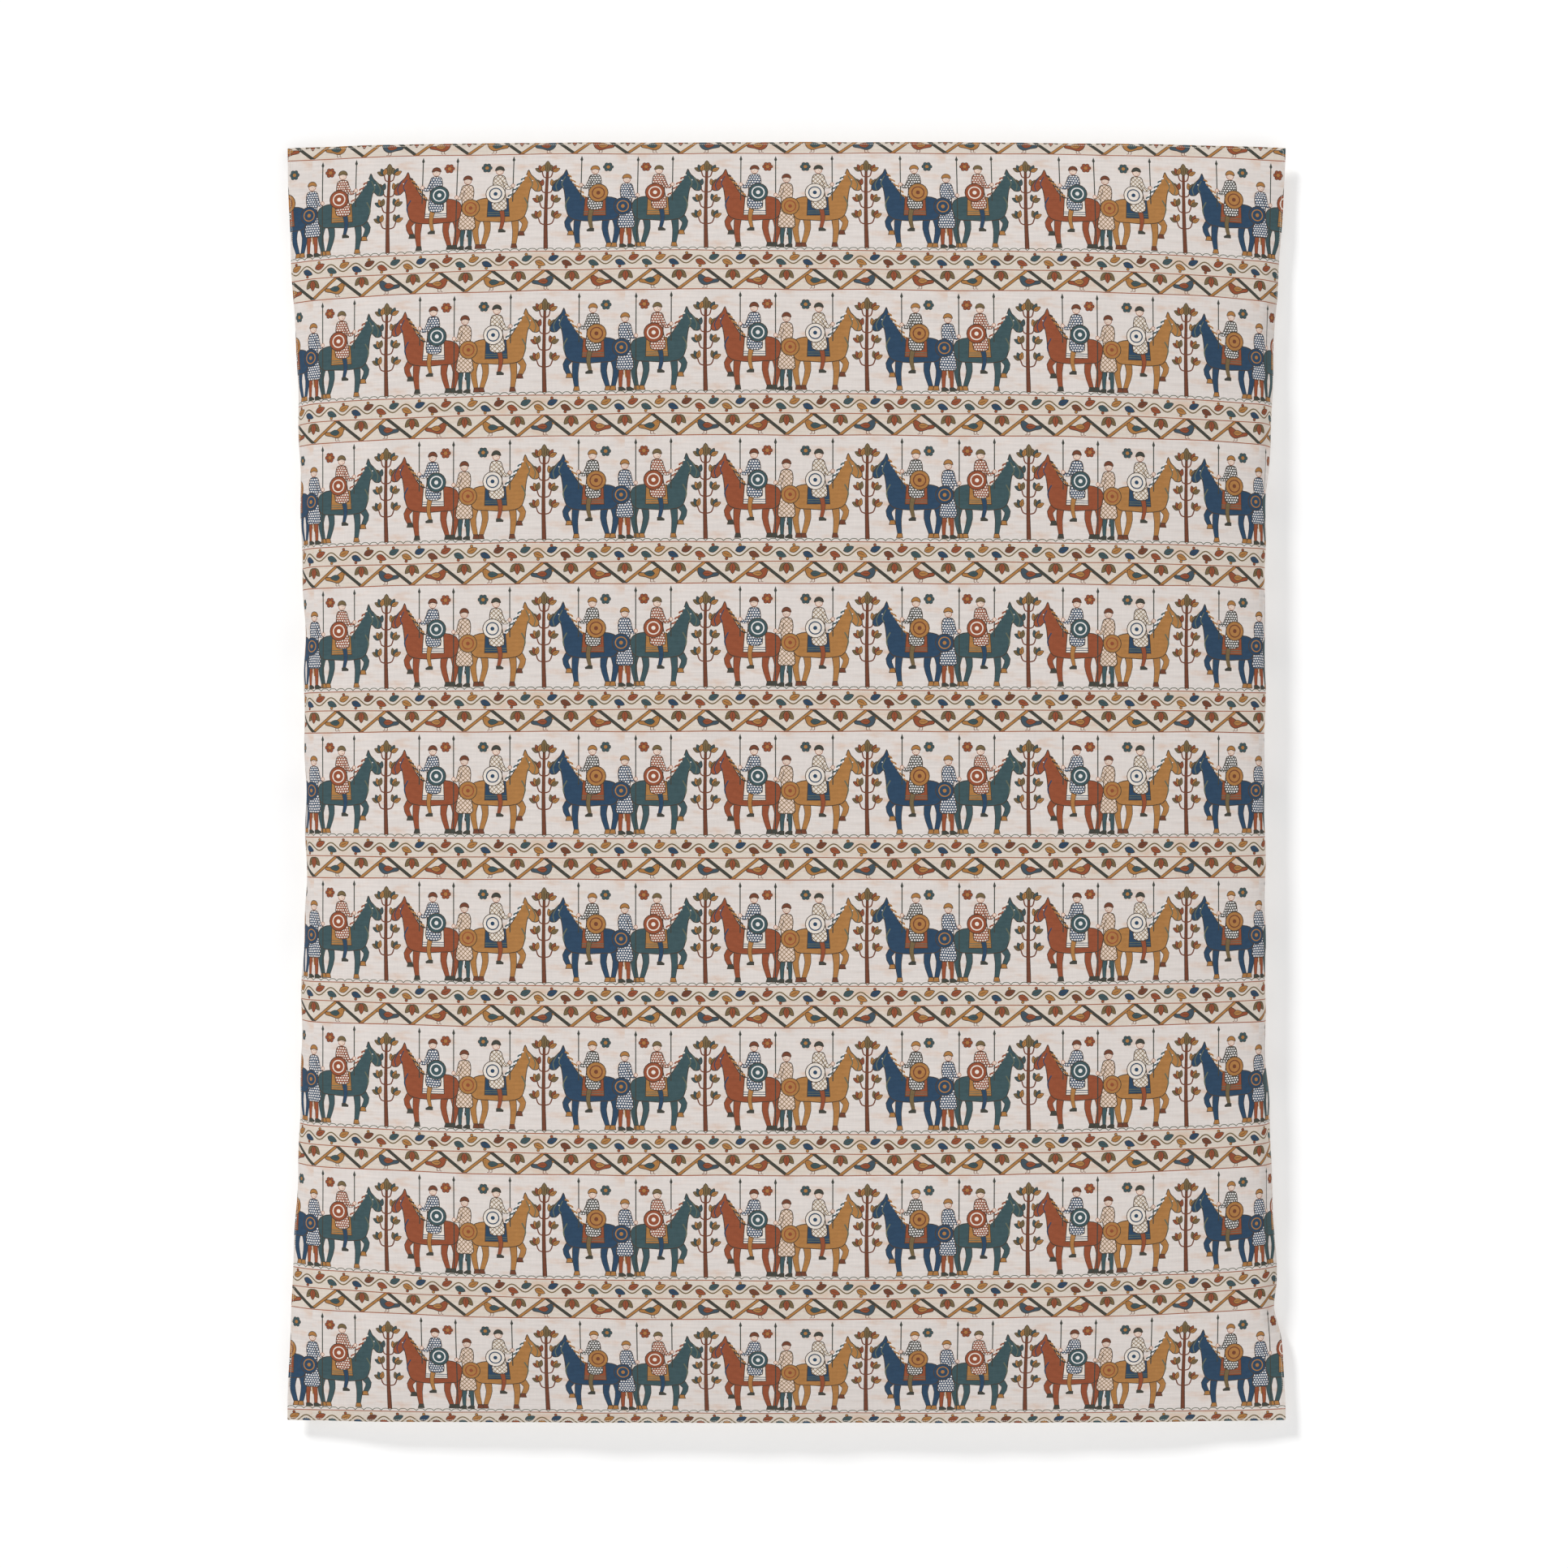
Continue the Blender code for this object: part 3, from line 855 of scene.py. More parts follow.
class Shading:
    """The nodes of one material. An input is a number, a colour, a vector or another node's output."""

    def __init__(self, name, roughness, sheen=0.0):
        self.material = bpy.data.materials.new(name)
        self.material.use_nodes = True
        self.tree = self.material.node_tree
        self.shader = self.tree.nodes["Principled BSDF"]
        self.shader.inputs["Roughness"].default_value = roughness
        self.shader.inputs["Sheen Weight"].default_value = sheen
        self.shader.inputs["Specular IOR Level"].default_value = 0.15

    def feed(self, socket, value):
        if isinstance(value, bpy.types.NodeSocket):
            self.tree.links.new(value, socket)
        else:
            socket.default_value = value

    def add(self, kind, inputs, output=0, **settings):
        node = self.tree.nodes.new(kind)
        for setting, value in settings.items():
            setattr(node, setting, value)
        for socket, value in inputs.items():
            self.feed(node.inputs[socket], value)
        return node.outputs[output]

    def attribute(self, name, output="Vector"):
        return self.add("ShaderNodeAttribute", {}, output, attribute_name=name)

    def math(self, operation, *values):
        return self.add("ShaderNodeMath", dict(enumerate(values)), operation=operation)

    def vector(self, operation, *values):
        return self.add("ShaderNodeVectorMath", dict(enumerate(values)), operation=operation)

    def mix(self, share, low, high, blend="MIX"):
        return self.add("ShaderNodeMix", {0: share, 6: low, 7: high}, 2, data_type="RGBA", blend_type=blend)

    def split(self, vector):
        node = self.tree.nodes.new("ShaderNodeSeparateXYZ")
        self.feed(node.inputs[0], vector)
        return node.outputs[:3]

    def noise(self, place, stretch, detail=2.0):
        """Noise from 0 to 1 with about this many bumps per metre along each axis."""
        place = self.vector("MULTIPLY", place, stretch)
        return self.add("ShaderNodeTexNoise", {"Vector": place, "Scale": 1.0, "Detail": detail}, "Fac")

    def between(self, value, low, high):
        """0 below low, 1 above high and smooth in between."""
        inputs = {"Value": value, "From Min": low, "From Max": high}
        return self.add("ShaderNodeMapRange", inputs, interpolation_type="SMOOTHSTEP")

    def shade(self, colour, value, spread):
        """The colour made darker or lighter by up to spread, as value goes from 0 to 1."""
        gain = self.math("MULTIPLY_ADD", value, 2 * spread, 1 - spread)
        return self.vector("SCALE", colour, (0, 0, 0), (0, 0, 0), gain)

    def ridges(self, place, pitch):
        """A wave from 0 to 1 across threads that lie this far apart."""
        wave = self.math("SINE", self.math("MULTIPLY", place, 2 * math.pi / pitch))
        return self.math("MULTIPLY_ADD", wave, 0.5, 0.5)

    def finish(self, colour, height, depth):
        """Sets the base colour, and a bump from height, 0 to 1, that is depth metres high."""
        self.feed(self.shader.inputs["Base Color"], colour)
        bump = self.add("ShaderNodeBump", {"Strength": 1.0, "Distance": depth, "Height": height})
        self.feed(self.shader.inputs["Normal"], bump)
        return self.material


WEAVE_PITCH = 0.0011  # between threads of the plain weave
RING_PITCH, RING_ROWS = 0.0036, 0.0034  # of the printed mail
RING_INNER, RING_OUTER = 0.31, 0.39  # where a cell's middle ends and the ink around it is full, in cells
LOZENGE_PITCH, LOZENGE_LINE = 0.0062, 0.20  # and the share of it that is line
WANDER = 0.003  # how far the figures' lines stray
WHITE_COTTON = (222, 216, 208)  # what the print pales to on the back
STAIN = (208, 172, 146)


def plain_weave(nodes, flat):
    """Height of a plain weave of uneven threads, and the unevenness of its weft and its warp."""
    u, v, _ = nodes.split(flat)
    weft = nodes.noise(flat, (22, 700, 0))
    warp = nodes.noise(flat, (700, 18, 0))
    over = nodes.math("MULTIPLY", nodes.ridges(u, WEAVE_PITCH), nodes.ridges(v, WEAVE_PITCH))
    under_u = nodes.math("SUBTRACT", 1.0, nodes.ridges(u, WEAVE_PITCH))
    under_v = nodes.math("SUBTRACT", 1.0, nodes.ridges(v, WEAVE_PITCH))
    height = nodes.math("ADD", over, nodes.math("MULTIPLY", under_u, under_v))
    height = nodes.math("MULTIPLY_ADD", weft, 0.9, height)
    return nodes.math("MULTIPLY_ADD", warp, 0.5, height), weft, warp


def figured_ink(nodes, flat):
    """The print's ink, with the mail's rings and lozenges drawn in."""
    ground = nodes.attribute("ink", "Color")
    line = nodes.attribute("line_ink", "Color")
    mailed, lozenges, _ = nodes.split(nodes.attribute("figure"))
    wander = nodes.add("ShaderNodeTexNoise", {"Vector": flat, "Scale": 60.0, "Detail": 1.0}, "Color")
    wander = nodes.vector("SUBTRACT", wander, (0.5, 0.5, 0.5))
    wander = nodes.vector("SCALE", wander, (0, 0, 0), (0, 0, 0), WANDER)
    place = nodes.vector("ADD", flat, wander)
    u, v, _ = nodes.split(place)

    def bars(place):
        """1 on the lozenges' lines and 0 between them."""
        edge, softness = 0.5 - LOZENGE_LINE / 2, 0.04
        share = nodes.math("FRACT", nodes.math("DIVIDE", place, LOZENGE_PITCH))
        offset = nodes.math("ABSOLUTE", nodes.math("SUBTRACT", share, 0.5))
        return nodes.between(offset, edge - softness, edge + softness)

    row = nodes.math("FLOOR", nodes.math("DIVIDE", v, RING_ROWS))
    apart = nodes.math("MULTIPLY_ADD", row, RING_PITCH / 2, u)  # every other row lies half a ring along
    shifted = nodes.add("ShaderNodeCombineXYZ", {0: apart, 1: v})
    cell = nodes.vector("FRACTION", nodes.vector("DIVIDE", shifted, (RING_PITCH, RING_ROWS, 1)))
    cell = nodes.vector("MULTIPLY", nodes.vector("SUBTRACT", cell, (0.5, 0.5, 0)), (1, 1, 0))
    from_middle = nodes.add("ShaderNodeVectorMath", {0: cell}, "Value", operation="LENGTH")
    rings = nodes.between(from_middle, RING_INNER, RING_OUTER)
    lozenge_lines = nodes.math("MAXIMUM", bars(nodes.math("ADD", u, v)), bars(nodes.math("SUBTRACT", u, v)))
    share = nodes.math("MULTIPLY", mailed, rings)
    share = nodes.math("MULTIPLY_ADD", lozenges, lozenge_lines, share)
    return nodes.mix(share, ground, line)


def printed_linen(name, fade=0.0):
    """The print as ink in a plain weave. fade is how far it pales, for the side that it shows through to."""
    nodes = Shading(name, roughness=0.85, sheen=0.03)
    flat = nodes.attribute("flat")
    height, weft, warp = plain_weave(nodes, flat)
    colour = figured_ink(nodes, flat)
    bare = nodes.split(nodes.attribute("figure"))[2]
    # the printed picture's own threads, stains and uneven dye come back in every repeat
    origin = (LEFT_SEAM * MM, FIRST_LINE * MM, 0)
    repeat = (REPEAT_WIDTH * MM, ROW_PITCH * MM, 1)
    place = nodes.vector("WRAP", nodes.vector("SUBTRACT", flat, origin), repeat, (0, 0, 0))
    colour = nodes.shade(colour, nodes.noise(place, (20, 330, 0), 3), 0.15)
    colour = nodes.shade(colour, nodes.noise(place, (330, 60, 0), 2), 0.05)
    dye = nodes.noise(place, (110, 190, 0), 3)
    dyed = nodes.shade(colour, dye, 0.22)
    colour = nodes.mix(nodes.math("SUBTRACT", 1.0, bare), colour, dyed)
    stain = nodes.between(nodes.noise(place, (26, 70, 0), 4), 0.50, 0.78)
    stained = nodes.mix(0.6, colour, linear(STAIN))
    colour = nodes.mix(nodes.math("MULTIPLY", stain, bare), colour, stained)
    # the cloth itself
    colour = nodes.shade(colour, weft, 0.05)
    colour = nodes.shade(colour, warp, 0.03)
    if fade:
        colour = nodes.mix(fade, colour, linear(WHITE_COTTON))
    return nodes.finish(colour, height, 0.00016)


def twill_tape(name):
    """Cotton tape in a fine herringbone twill."""
    nodes = Shading(name, roughness=0.8, sheen=0.2)
    flat = nodes.attribute("flat")
    along, across, _ = nodes.split(flat)
    mirrored = nodes.math("PINGPONG", across, TAPE_WIDTH / 4)
    ribs = nodes.ridges(nodes.math("ADD", along, mirrored), 0.0011)
    colour = nodes.mix(ribs, linear((196, 182, 160)), linear((226, 214, 196)))
    colour = nodes.shade(colour, nodes.noise(flat, (900, 300, 0)), 0.06)
    return nodes.finish(colour, ribs, 0.00018)


def sewing_thread(name):
    """Twisted polyester thread."""
    nodes = Shading(name, roughness=0.55, sheen=0.1)
    place = nodes.add("ShaderNodeTexCoord", {}, "Object")
    twist = nodes.noise(place, (2600, 2600, 2600), 1)
    colour = nodes.mix(twist, linear((205, 196, 182)), linear((236, 230, 220)))
    return nodes.finish(colour, twist, 0.0001)


def woven_label(name):
    """White satin with fine ribs."""
    nodes = Shading(name, roughness=0.42, sheen=0.1)
    flat = nodes.attribute("flat")
    u, v, _ = nodes.split(flat)
    ribs = nodes.ridges(v, 0.0005)
    colour = nodes.mix(ribs, linear((224, 223, 219)), linear((240, 239, 236)))
    colour = nodes.shade(colour, nodes.noise(flat, (60, 1500, 0)), 0.04)
    return nodes.finish(colour, ribs, 0.00006)


MATERIALS = {
    "printed_cloth": printed_linen("printed_cloth"),
    "cloth_back": printed_linen("cloth_back", fade=0.87),
    "thread": sewing_thread("thread"),
    "tape": twill_tape("tape"),
    "label": woven_label("label"),
}


def finish_piece(piece, slot, material, *replaced):
    """Gives a piece its material and its place in the frame."""
    piece.data.materials.append(MATERIALS[material])
    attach(piece, "root")
    if replaced:
        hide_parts(*replaced)
    return piece


# The printed cloth and its hems

def hem_places():
    """How far beyond the face the lines lie that let the hem fold."""
    fold = np.linspace(0, FOLD_LENGTH, 7)
    turn = FOLD_LENGTH + HEM_FLAT + np.linspace(0, TURN_LENGTH, 4)
    return np.concatenate([fold, turn, [HEM_LENGTH]])


HEM_INNER = FACE_HALF_WIDTH - HEM_FLAT - HEM_TURN_RADIUS - 0.0003  # where the top and bottom hems stop


def hem_profile(beyond):
    """How far outwards of the face's edge the hem lies, and how far behind the face."""
    fold = np.minimum(beyond, FOLD_LENGTH) / FOLD_RADIUS
    turn = np.clip(beyond - FOLD_LENGTH - HEM_FLAT, 0, TURN_LENGTH) / HEM_TURN_RADIUS
    outwards = FOLD_RADIUS * np.sin(fold) - np.clip(beyond - FOLD_LENGTH, 0, HEM_FLAT)
    outwards = outwards - HEM_TURN_RADIUS * np.sin(turn)
    outwards = outwards + np.clip(beyond - HEM_LENGTH + HEM_RETURN, 0, HEM_RETURN)
    depth = FOLD_RADIUS * (1 - np.cos(fold)) - HEM_TURN_RADIUS * (1 - np.cos(turn))
    return outwards, depth


def folded(flat):
    """Where the cut cloth's points lie, with its edges folded to the back."""
    u, v = flat.T
    base_u = np.clip(u, -FACE_HALF_WIDTH, FACE_HALF_WIDTH)
    base_v = np.clip(v, FACE_BOTTOM, FACE_TOP)
    beyond = np.hypot(u - base_u, v - base_v)
    outwards, depth = hem_profile(beyond)
    share = outwards / np.maximum(beyond, 1e-9)
    return drape.behind(base_u + (u - base_u) * share, base_v + (v - base_v) * share, depth)


PIECE_NAMES = {"printed_cloth": "printed_face"}
PIECE_NAMES.update({f"hem_{place}": f"folded_hem_{place}" for place in ("top", "bottom", "left", "right")})


def make_print(outlines):
    """The printed face and the four hems, cut from one drawing."""
    places = hem_places()
    us = np.concatenate([FACE_HALF_WIDTH + places, -FACE_HALF_WIDTH - places, [HEM_INNER, -HEM_INNER]])
    vs = np.concatenate([FACE_TOP + places, FACE_BOTTOM - places])
    flat, triangles, inks = cut_print(outlines, FACE_TOLERANCE, us, vs, FACE_STEP)
    room = folded(flat)
    u, v = flat[triangles].mean(axis=1).T
    over_side = np.abs(u) - FACE_HALF_WIDTH
    over_end = np.maximum(v - FACE_TOP, FACE_BOTTOM - v)
    corner = (over_side > 0) & (over_end > 0)
    kept = ~corner | (np.hypot(over_side, over_end) < FOLD_LENGTH)
    kept &= (over_end < FOLD_LENGTH) | (np.abs(u) < HEM_INNER)
    end = over_end > 0
    regions = {
        "printed_cloth": (over_side < 0) & (over_end < 0),
        "hem_top": kept & end & (v > FACE_TOP),
        "hem_bottom": kept & end & (v < FACE_BOTTOM),
        "hem_left": kept & ~end & (u < -FACE_HALF_WIDTH),
        "hem_right": kept & ~end & (u > FACE_HALF_WIDTH),
    }
    pieces = {}
    for name, chosen in regions.items():
        piece, used = cut_piece(PIECE_NAMES[name], room, triangles[chosen], inks[chosen], flat)
        if name == "printed_cloth":
            normals = drape.facing(*flat[used].T)
            piece.data.normals_split_custom_set_from_vertices(normals.tolist())
            finish_piece(piece, "printed_cloth", "printed_cloth", name)
        else:
            finish_piece(piece, "cloth_back", "printed_cloth", name)
        pieces[name] = piece
    return pieces


def make_back(outlines):
    """The unprinted side, which the larger shapes of the print show through to."""
    thin = INK_NAMES.index("outline")
    large = [
        (outline, ink) for outline, ink in outlines
        if ink != thin and abs(area(outline.tolist())) > BACK_SMALLEST
    ]
    inset = 0.0006
    us = np.array([inset - PANEL_WIDTH / 2, PANEL_WIDTH / 2 - inset])
    vs = np.array([inset - PANEL_HEIGHT, -inset])
    flat, triangles, inks = cut_print(large, BACK_TOLERANCE, us, vs, BACK_STEP)
    room = drape.behind(*flat.T, CLOTH_THICKNESS)
    piece, used = cut_piece("unprinted_back", room, triangles[:, ::-1], inks, flat)
    piece.data.normals_split_custom_set_from_vertices((-drape.facing(*flat[used].T)).tolist())
    return finish_piece(piece, "cloth_back", "cloth_back")


# Threads

def spindle(sides=6):
    """A thread that lies along X, one unit long, wide and high, as points and triangles."""
    turns = np.linspace(0, 2 * math.pi, sides, endpoint=False)
    profile = ((-0.4, 0.36), (0, 0.5), (0.4, 0.36))
    rings = [[(x, r * math.cos(a), r * math.sin(a)) for a in turns] for x, r in profile]
    points = [(-0.5, 0, 0), *(point for ring in rings for point in ring), (0.5, 0, 0)]
    last = len(points) - 1
    triangles = []
    for k in range(sides):
        here, after = 1 + k, 1 + (k + 1) % sides
        triangles.append((0, after, here))
        for ring in (0, sides):
            triangles.append((here + ring, after + ring, after + ring + sides))
            triangles.append((here + ring, after + ring + sides, here + ring + sides))
        triangles.append((last, here + 2 * sides, after + 2 * sides))
    return np.array(points), np.array(triangles)


def make_threads(name, node, centres, along, out, sizes):
    """One object of many threads that stands for a CAD node, from their middles, their directions, the ways
    out of the cloth and their sizes: length, width and height."""
    points, triangles = spindle()
    centres, along, out = (np.asarray(a, float)[:, None, :] for a in (centres, along, out))
    side = np.cross(out, along)
    spots = points * np.asarray(sizes, float)[:, None, :]
    room = centres + along * spots[..., 0:1] + side * spots[..., 1:2] + out * spots[..., 2:3]
    shifts = np.arange(len(centres))[:, None, None] * len(points)
    piece = mesh_object(name, room.reshape(-1, 3), (triangles[None] + shifts).reshape(-1, 3))
    return finish_piece(piece, "thread", "thread", node)


def unit(vectors):
    return vectors / np.linalg.norm(vectors, axis=-1, keepdims=True)


STITCH_PITCH = 0.003
STITCH_SIZE = (0.0026, 0.0007, 0.0005)
THREAD_LIFT = 0.0001  # how far a thread's middle lies off what it is sewn to


def stitch_row(start, end, depth):
    """Places, directions and ways out of a straight row of stitches, from one flat place to another. depth is
    how far behind the printed face they lie, or None for a row on the face itself."""
    start, end = np.array(start), np.array(end)
    length = math.hypot(*(end - start))
    count = int(length / STITCH_PITCH)
    shares = (np.arange(count) + 0.5) / count
    u, v = (start + (end - start) * shares[:, None]).T
    ahead = (end - start) / length * STITCH_PITCH / 2
    along = unit(drape.hang(u + ahead[0], v + ahead[1]) - drape.hang(u - ahead[0], v - ahead[1]))
    facing = drape.facing(u, v)
    if depth is None:
        return drape.hang(u, v) + facing * THREAD_LIFT, along, facing
    return drape.behind(u, v, depth + THREAD_LIFT), along, -facing


def make_hem_stitches():
    """A row of lockstitches round each hem, seen on the face and on the back."""
    side = PANEL_WIDTH / 2 - HEM_STITCH_INSET
    top, bottom = -HEM_STITCH_INSET, HEM_STITCH_INSET - PANEL_HEIGHT
    rows = {
        "top": ((-side, top), (side, top)),
        "bottom": ((-side, bottom), (side, bottom)),
        "left": ((-side, bottom), (-side, top)),
        "right": ((side, bottom), (side, top)),
    }
    pieces = []
    for place, (start, end) in rows.items():
        face = stitch_row(start, end, None)
        back = stitch_row(start, end, 2 * FOLD_RADIUS)
        centres, along, out = (np.concatenate(pair) for pair in zip(face, back))
        sizes = np.tile(STITCH_SIZE, (len(centres), 1))
        pieces.append(make_threads(f"hem_seam_{place}", f"hem_stitches_{place}", centres, along, out, sizes))
    return pieces


def make_bartack(name, node, u, v):
    """Dense satin stitches across two rows of padding threads."""
    depth = CLOTH_THICKNESS + LAYER_GAP + TAPE_THICKNESS + 0.00015
    count = 21
    centres, along, out, sizes = [], [], [], []
    facing = drape.facing(u, v)
    across = unit(drape.hang(u + 0.001, v) - drape.hang(u - 0.001, v))
    up = np.cross(across, facing)
    for k in range(count):
        place = v + BARTACK_LENGTH * ((k + 0.5) / count - 0.5)
        centres.append(drape.behind(u, place, depth + THREAD_LIFT))
        along.append(unit(across + up * (0.22 if k % 2 else -0.22)))
        out.append(-facing)
        sizes.append((BARTACK_WIDTH, 0.0006, 0.0005))
    for side in (-1, 1):
        centres.append(drape.behind(u + side * BARTACK_WIDTH / 4, v, depth))
        along.append(up)
        out.append(-facing)
        sizes.append((BARTACK_LENGTH, 0.0007, 0.0004))
    return make_threads(name, node, centres, along, out, sizes)


# Tape and label

def slab(name, near, far, lengths):
    """A closed piece between two grids of points with the same rows and columns. lengths gives the flat place
    of each grid point."""
    rows, columns = near.shape[:2]
    grid = np.arange(rows * columns).reshape(rows, columns)
    cells = np.stack([grid[:-1, :-1], grid[:-1, 1:], grid[1:, 1:], grid[1:, :-1]], axis=-1).reshape(-1, 4)
    rim = np.concatenate([grid[0], grid[1:, -1], grid[-1, -2::-1], grid[-2:0:-1, 0]])
    following = np.roll(rim, -1)
    walls = np.stack([following, rim, rim + grid.size, following + grid.size], axis=-1)
    faces = np.concatenate([cells, cells[:, ::-1] + grid.size, walls])
    points = np.concatenate([near.reshape(-1, 3), far.reshape(-1, 3)])
    first, second, third, fourth = points[faces].transpose(1, 0, 2)
    volume = (np.cross(first, second) * third).sum() + (np.cross(first, third) * fourth).sum()
    piece = mesh_object(name, points, faces if volume > 0 else faces[:, ::-1])
    piece.data.set_sharp_from_angle(angle=math.radians(50))
    flat = np.concatenate([lengths.reshape(-1, 2)] * 2)
    set_flat(piece, *flat.T)
    return piece


def tape_route(u, v_line):
    """The middle of the tape along one of its threads: foot, leg, crown on the wall, leg, foot."""
    depth = CLOTH_THICKNESS + LAYER_GAP + TAPE_THICKNESS / 2
    leg_steps = 14
    half = []
    for side in (-1, 1):
        foot = [u + side * (EYE_HALF_WIDTH + FOOT_LENGTH * share) for share in (1, 0.75, 0.5, 0.25, 0)]
        run = [drape.behind(place, v_line, depth) for place in foot]
        crown = drape.hang(u, v_line) + np.array([side * CROWN_HALF_WIDTH, 0, 0])
        crown[1] = -TAPE_THICKNESS / 2
        start = run[-1]
        for k in range(1, leg_steps + 1):
            share = k / leg_steps
            rise = (1 - math.cos(math.pi * share)) / 2
            run.append(start + (crown - start) * np.array([share, rise, share]))
        half.append(run)
    middle = [half[0][-1] + (half[1][-1] - half[0][-1]) * share for share in (0.25, 0.5, 0.75)]
    return np.array(half[0] + middle + half[1][::-1])


def make_loop(name, node, u, v):
    """A tape loop around an upright eye. Its selvedges are rounded."""
    across = np.sin(np.linspace(-math.pi / 2, math.pi / 2, 13))  # from -1 to 1, closer at the selvedges
    middle = np.array([tape_route(u, v + TAPE_WIDTH / 2 * share) for share in across])
    along = unit(np.gradient(middle, axis=1))
    out = unit(np.cross(along, np.array([0, 0, 1.0])))
    half = TAPE_THICKNESS / 2 * np.sqrt(1 - 0.97 * across**8)[:, None, None]
    steps = np.linalg.norm(np.diff(middle, axis=1), axis=-1)
    travelled = np.concatenate([np.zeros((len(across), 1)), np.cumsum(steps, axis=1)], axis=1)
    spread = np.broadcast_to(TAPE_WIDTH / 2 * across[:, None], travelled.shape)
    places = np.stack([travelled, spread], axis=-1)
    piece = finish_piece(slab(name, middle - out * half, middle + out * half, places), "tape", "tape", node)
    return piece, float(travelled.mean(axis=0)[-1])


def make_corner_loops():
    """A loop behind each corner, with a bartack on each foot."""
    foot_middle = EYE_HALF_WIDTH + FOOT_LENGTH / 2
    for end, v in (("top", -LOOP_END_INSET), ("bottom", LOOP_END_INSET - PANEL_HEIGHT)):
        for hand, side in (("left", -1), ("right", 1)):
            u = side * (PANEL_WIDTH / 2 - LOOP_SIDE_INSET)
            corner = f"{end}_{hand}"
            loop, length = make_loop(f"tape_loop_{corner}", f"hanging_loop_{corner}", u, v)
            for foot, way in (("outer", side), ("inner", -side)):
                name = f"{corner}_{foot}"
                make_bartack(f"tack_{name}", f"bartack_{name}", u + way * foot_middle, v)


def make_label():
    """A blank satin label, sewn down along its lower end. Its free end stands a little off the cloth."""
    right = PANEL_WIDTH / 2 - LABEL_SIDE_INSET
    bottom = LABEL_END_INSET - PANEL_HEIGHT
    gap, lift, wave = 0.0002, 0.0028, 0.0003  # under its seam, at its free end, and how much that end curls
    us = np.linspace(right - LABEL_WIDTH, right, 13)
    vs = np.linspace(bottom, bottom + LABEL_HEIGHT, 25)
    u, v = np.meshgrid(us, vs)
    height = (v - bottom) / LABEL_HEIGHT
    width = (u - right) / LABEL_WIDTH + 0.5
    near = CLOTH_THICKNESS + gap + lift * height**2.5 * (1 + 0.5 * width) + wave * np.cos(5 * width) * height
    places = np.stack([u, v], axis=-1)
    label = slab("satin_label", drape.behind(u, v, near), drape.behind(u, v, near + LABEL_THICKNESS), places)
    finish_piece(label, "label", "label", "care_label")
    seam = bottom + 0.0034
    margin = 0.001
    start, end = (right - LABEL_WIDTH + margin, seam), (right - margin, seam)
    centres, along, out = stitch_row(start, end, CLOTH_THICKNESS + gap + LABEL_THICKNESS)
    sizes = np.tile(STITCH_SIZE, (len(centres), 1))
    stitches = make_threads("label_seam", "care_label_stitches", centres, along, out, sizes)


def make_hanging():
    outlines = with_wraps(draw_repeat())
    pieces = make_print(outlines)
    face = pieces.pop("printed_cloth")
    back = make_back(outlines)
    stitches = make_hem_stitches()
    make_corner_loops()
    make_label()


# Stage and light

WALL_SIZE, FLOOR_SIZE = 9.0, 14.0
WALL_GAP = 0.0005  # between the loops and the wall
FLOOR_DROP = 0.36  # from the panel's lower edge
SKY_STRENGTH = 0.81
SKY_LEAN = (0.3, 0, -0.6)  # where the sky is brighter

def make_plane(name, size, location, rotation=(0, 0, 0)):
    half = size / 2
    corners = np.array([(-half, -half, 0), (half, -half, 0), (half, half, 0), (-half, half, 0)])
    plane = mesh_object(name, corners, np.array([(0, 1, 2, 3)]), smooth=False)
    plane.location = location
    plane.rotation_euler = rotation
    return plane


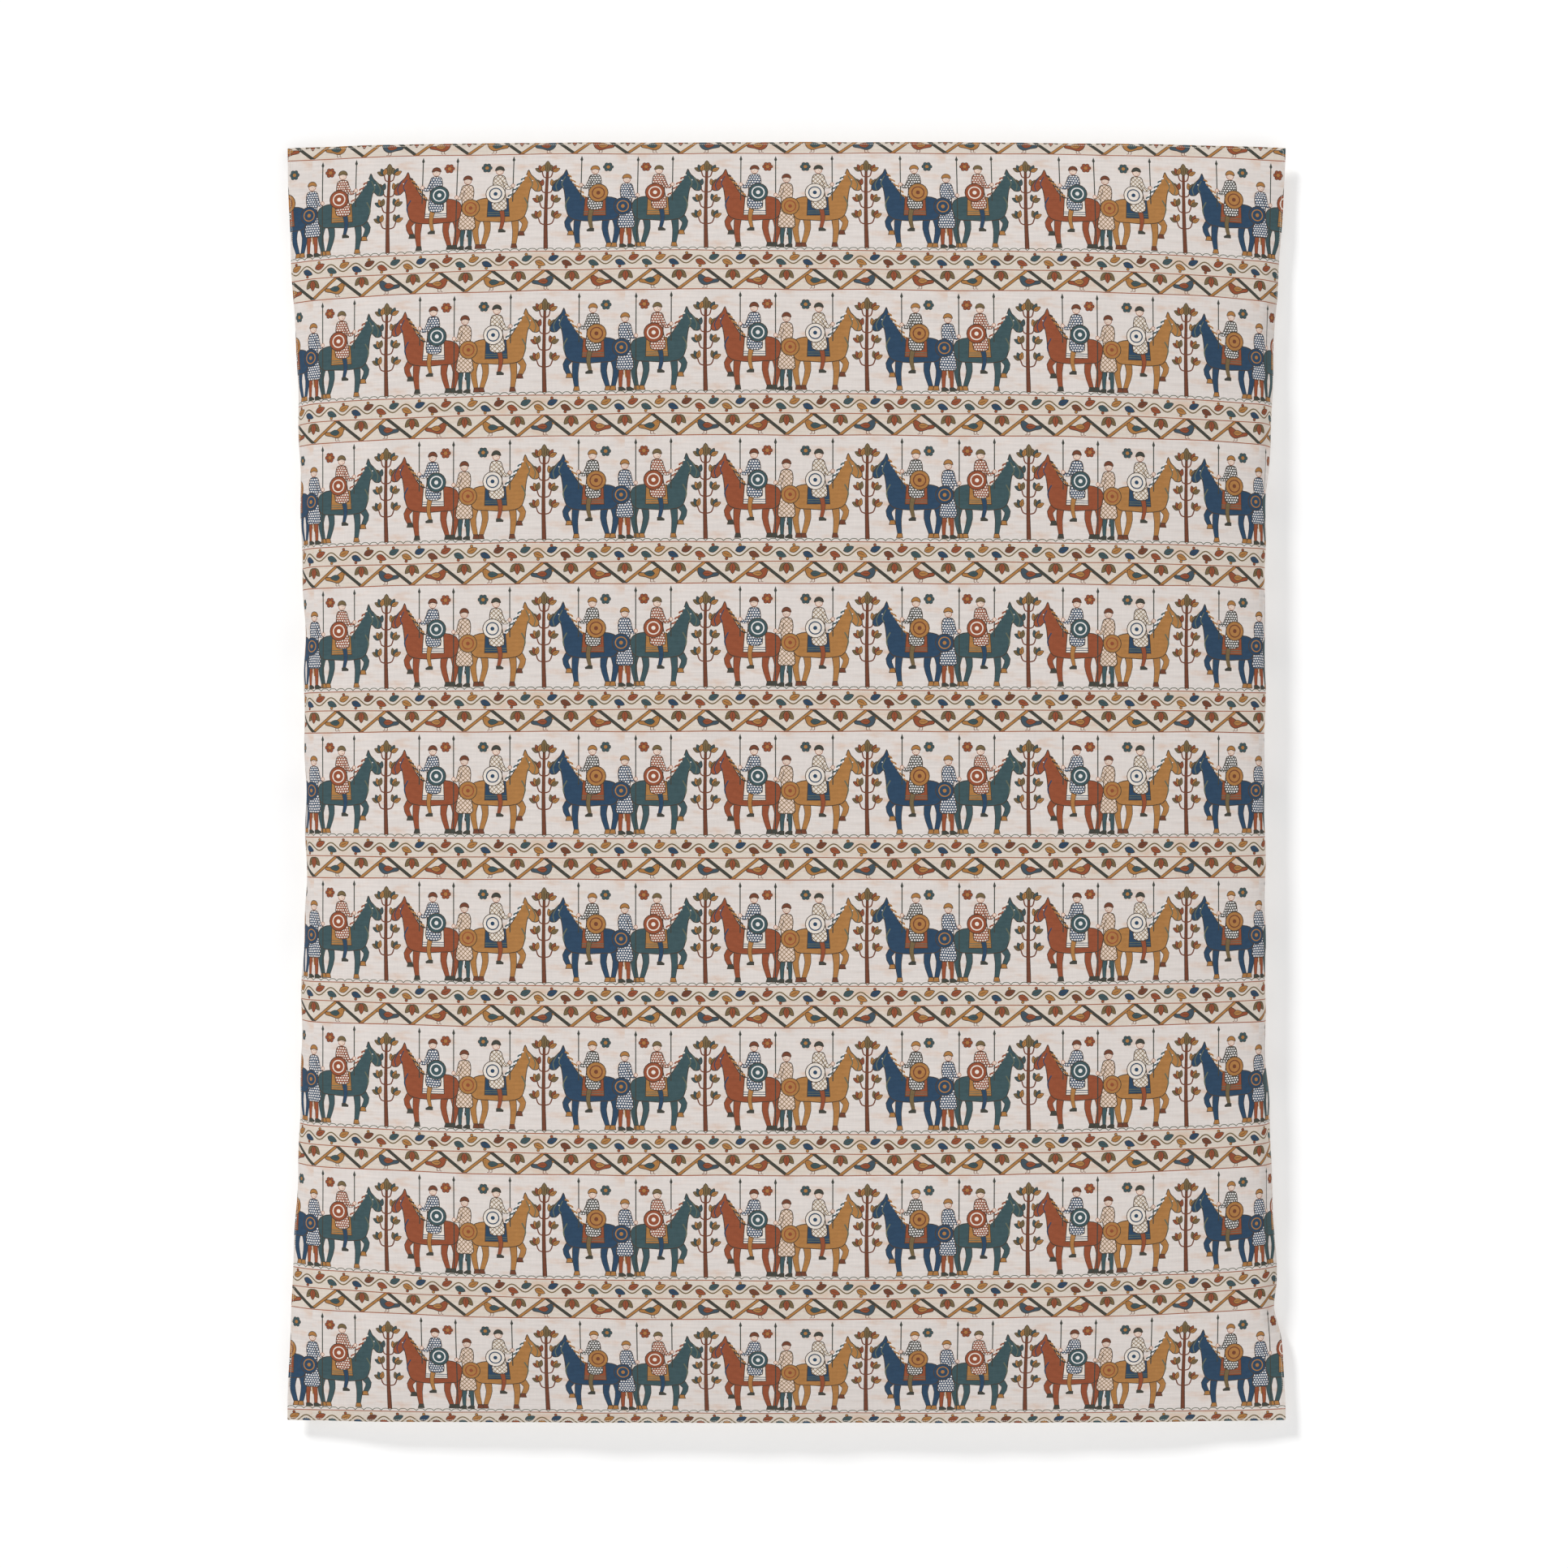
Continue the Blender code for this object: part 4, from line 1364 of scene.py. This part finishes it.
def make_stage():
    """A white wall that shows only from the room's side and lights nothing, and a pale floor."""
    wall = make_plane("wall", WALL_SIZE, (0, WALL_GAP, -PANEL_HEIGHT / 2), (math.pi / 2, 0, 0))
    paint = bpy.data.materials.new("wall_paint")
    paint.use_nodes = True
    nodes, links = paint.node_tree.nodes, paint.node_tree.links
    nodes.remove(nodes["Principled BSDF"])
    diffuse = nodes.new("ShaderNodeBsdfDiffuse")
    diffuse.inputs["Color"].default_value = (1, 1, 1, 1)
    side = nodes.new("ShaderNodeNewGeometry")
    choice = nodes.new("ShaderNodeMixShader")
    links.new(side.outputs["Backfacing"], choice.inputs[0])
    links.new(diffuse.outputs[0], choice.inputs[1])
    links.new(nodes.new("ShaderNodeBsdfTransparent").outputs[0], choice.inputs[2])
    links.new(choice.outputs[0], nodes["Material Output"].inputs["Surface"])
    wall.data.materials.append(paint)
    for rays in ("diffuse", "glossy", "transmission", "shadow"):
        setattr(wall, f"visible_{rays}", False)
    floor = make_plane("floor", FLOOR_SIZE, (0, 0, -PANEL_HEIGHT - FLOOR_DROP))
    pale = bpy.data.materials.new("pale_floor")
    pale.use_nodes = True
    shader = pale.node_tree.nodes["Principled BSDF"]
    shader.inputs["Base Color"].default_value = (0.86, 0.85, 0.84, 1)
    shader.inputs["Roughness"].default_value = 0.7
    floor.data.materials.append(pale)
    floor.visible_diffuse = False  # the sky alone lights the piece from below


def make_sun(name, towards, strength, angle):
    light = bpy.data.lights.new(name, "SUN")
    light.energy = strength
    light.angle = math.radians(angle)
    sun = bpy.data.objects.new(name, light)
    sun.rotation_mode = "QUATERNION"
    sun.rotation_quaternion = Vector(towards).to_track_quat("-Z", "Y")
    bpy.context.scene.collection.objects.link(sun)


def make_lights():
    """A soft key from the upper left, a sky that is brighter low and to the right, where the room throws
    light back, and a soft light on the back for the views from behind."""
    make_sun("key", (1.2, 1.0, -1.57), 1.87, 11)
    make_sun("back_light", (-0.5, -1.0, -0.7), 1.6, 25)
    world = bpy.data.worlds.new("sky")
    world.use_nodes = True
    world.node_tree.nodes["Background"].inputs["Color"].default_value = (1, 1, 1, 1)
    nodes, links = world.node_tree.nodes, world.node_tree.links
    lean = nodes.new("ShaderNodeVectorMath")
    lean.operation = "DOT_PRODUCT"
    lean.inputs[1].default_value = SKY_LEAN
    strength = nodes.new("ShaderNodeMath")
    strength.operation = "MULTIPLY_ADD"
    strength.inputs[1].default_value = strength.inputs[2].default_value = SKY_STRENGTH
    links.new(nodes.new("ShaderNodeTexCoord").outputs["Generated"], lean.inputs[0])
    links.new(lean.outputs["Value"], strength.inputs[0])
    links.new(strength.outputs[0], nodes["Background"].inputs["Strength"])
    bpy.context.scene.world = world
    bpy.context.scene.view_settings.view_transform = "Standard"
    bpy.context.scene.view_settings.look = "None"


make_hanging()
make_stage()
make_lights()
bpy.context.view_layer.update()
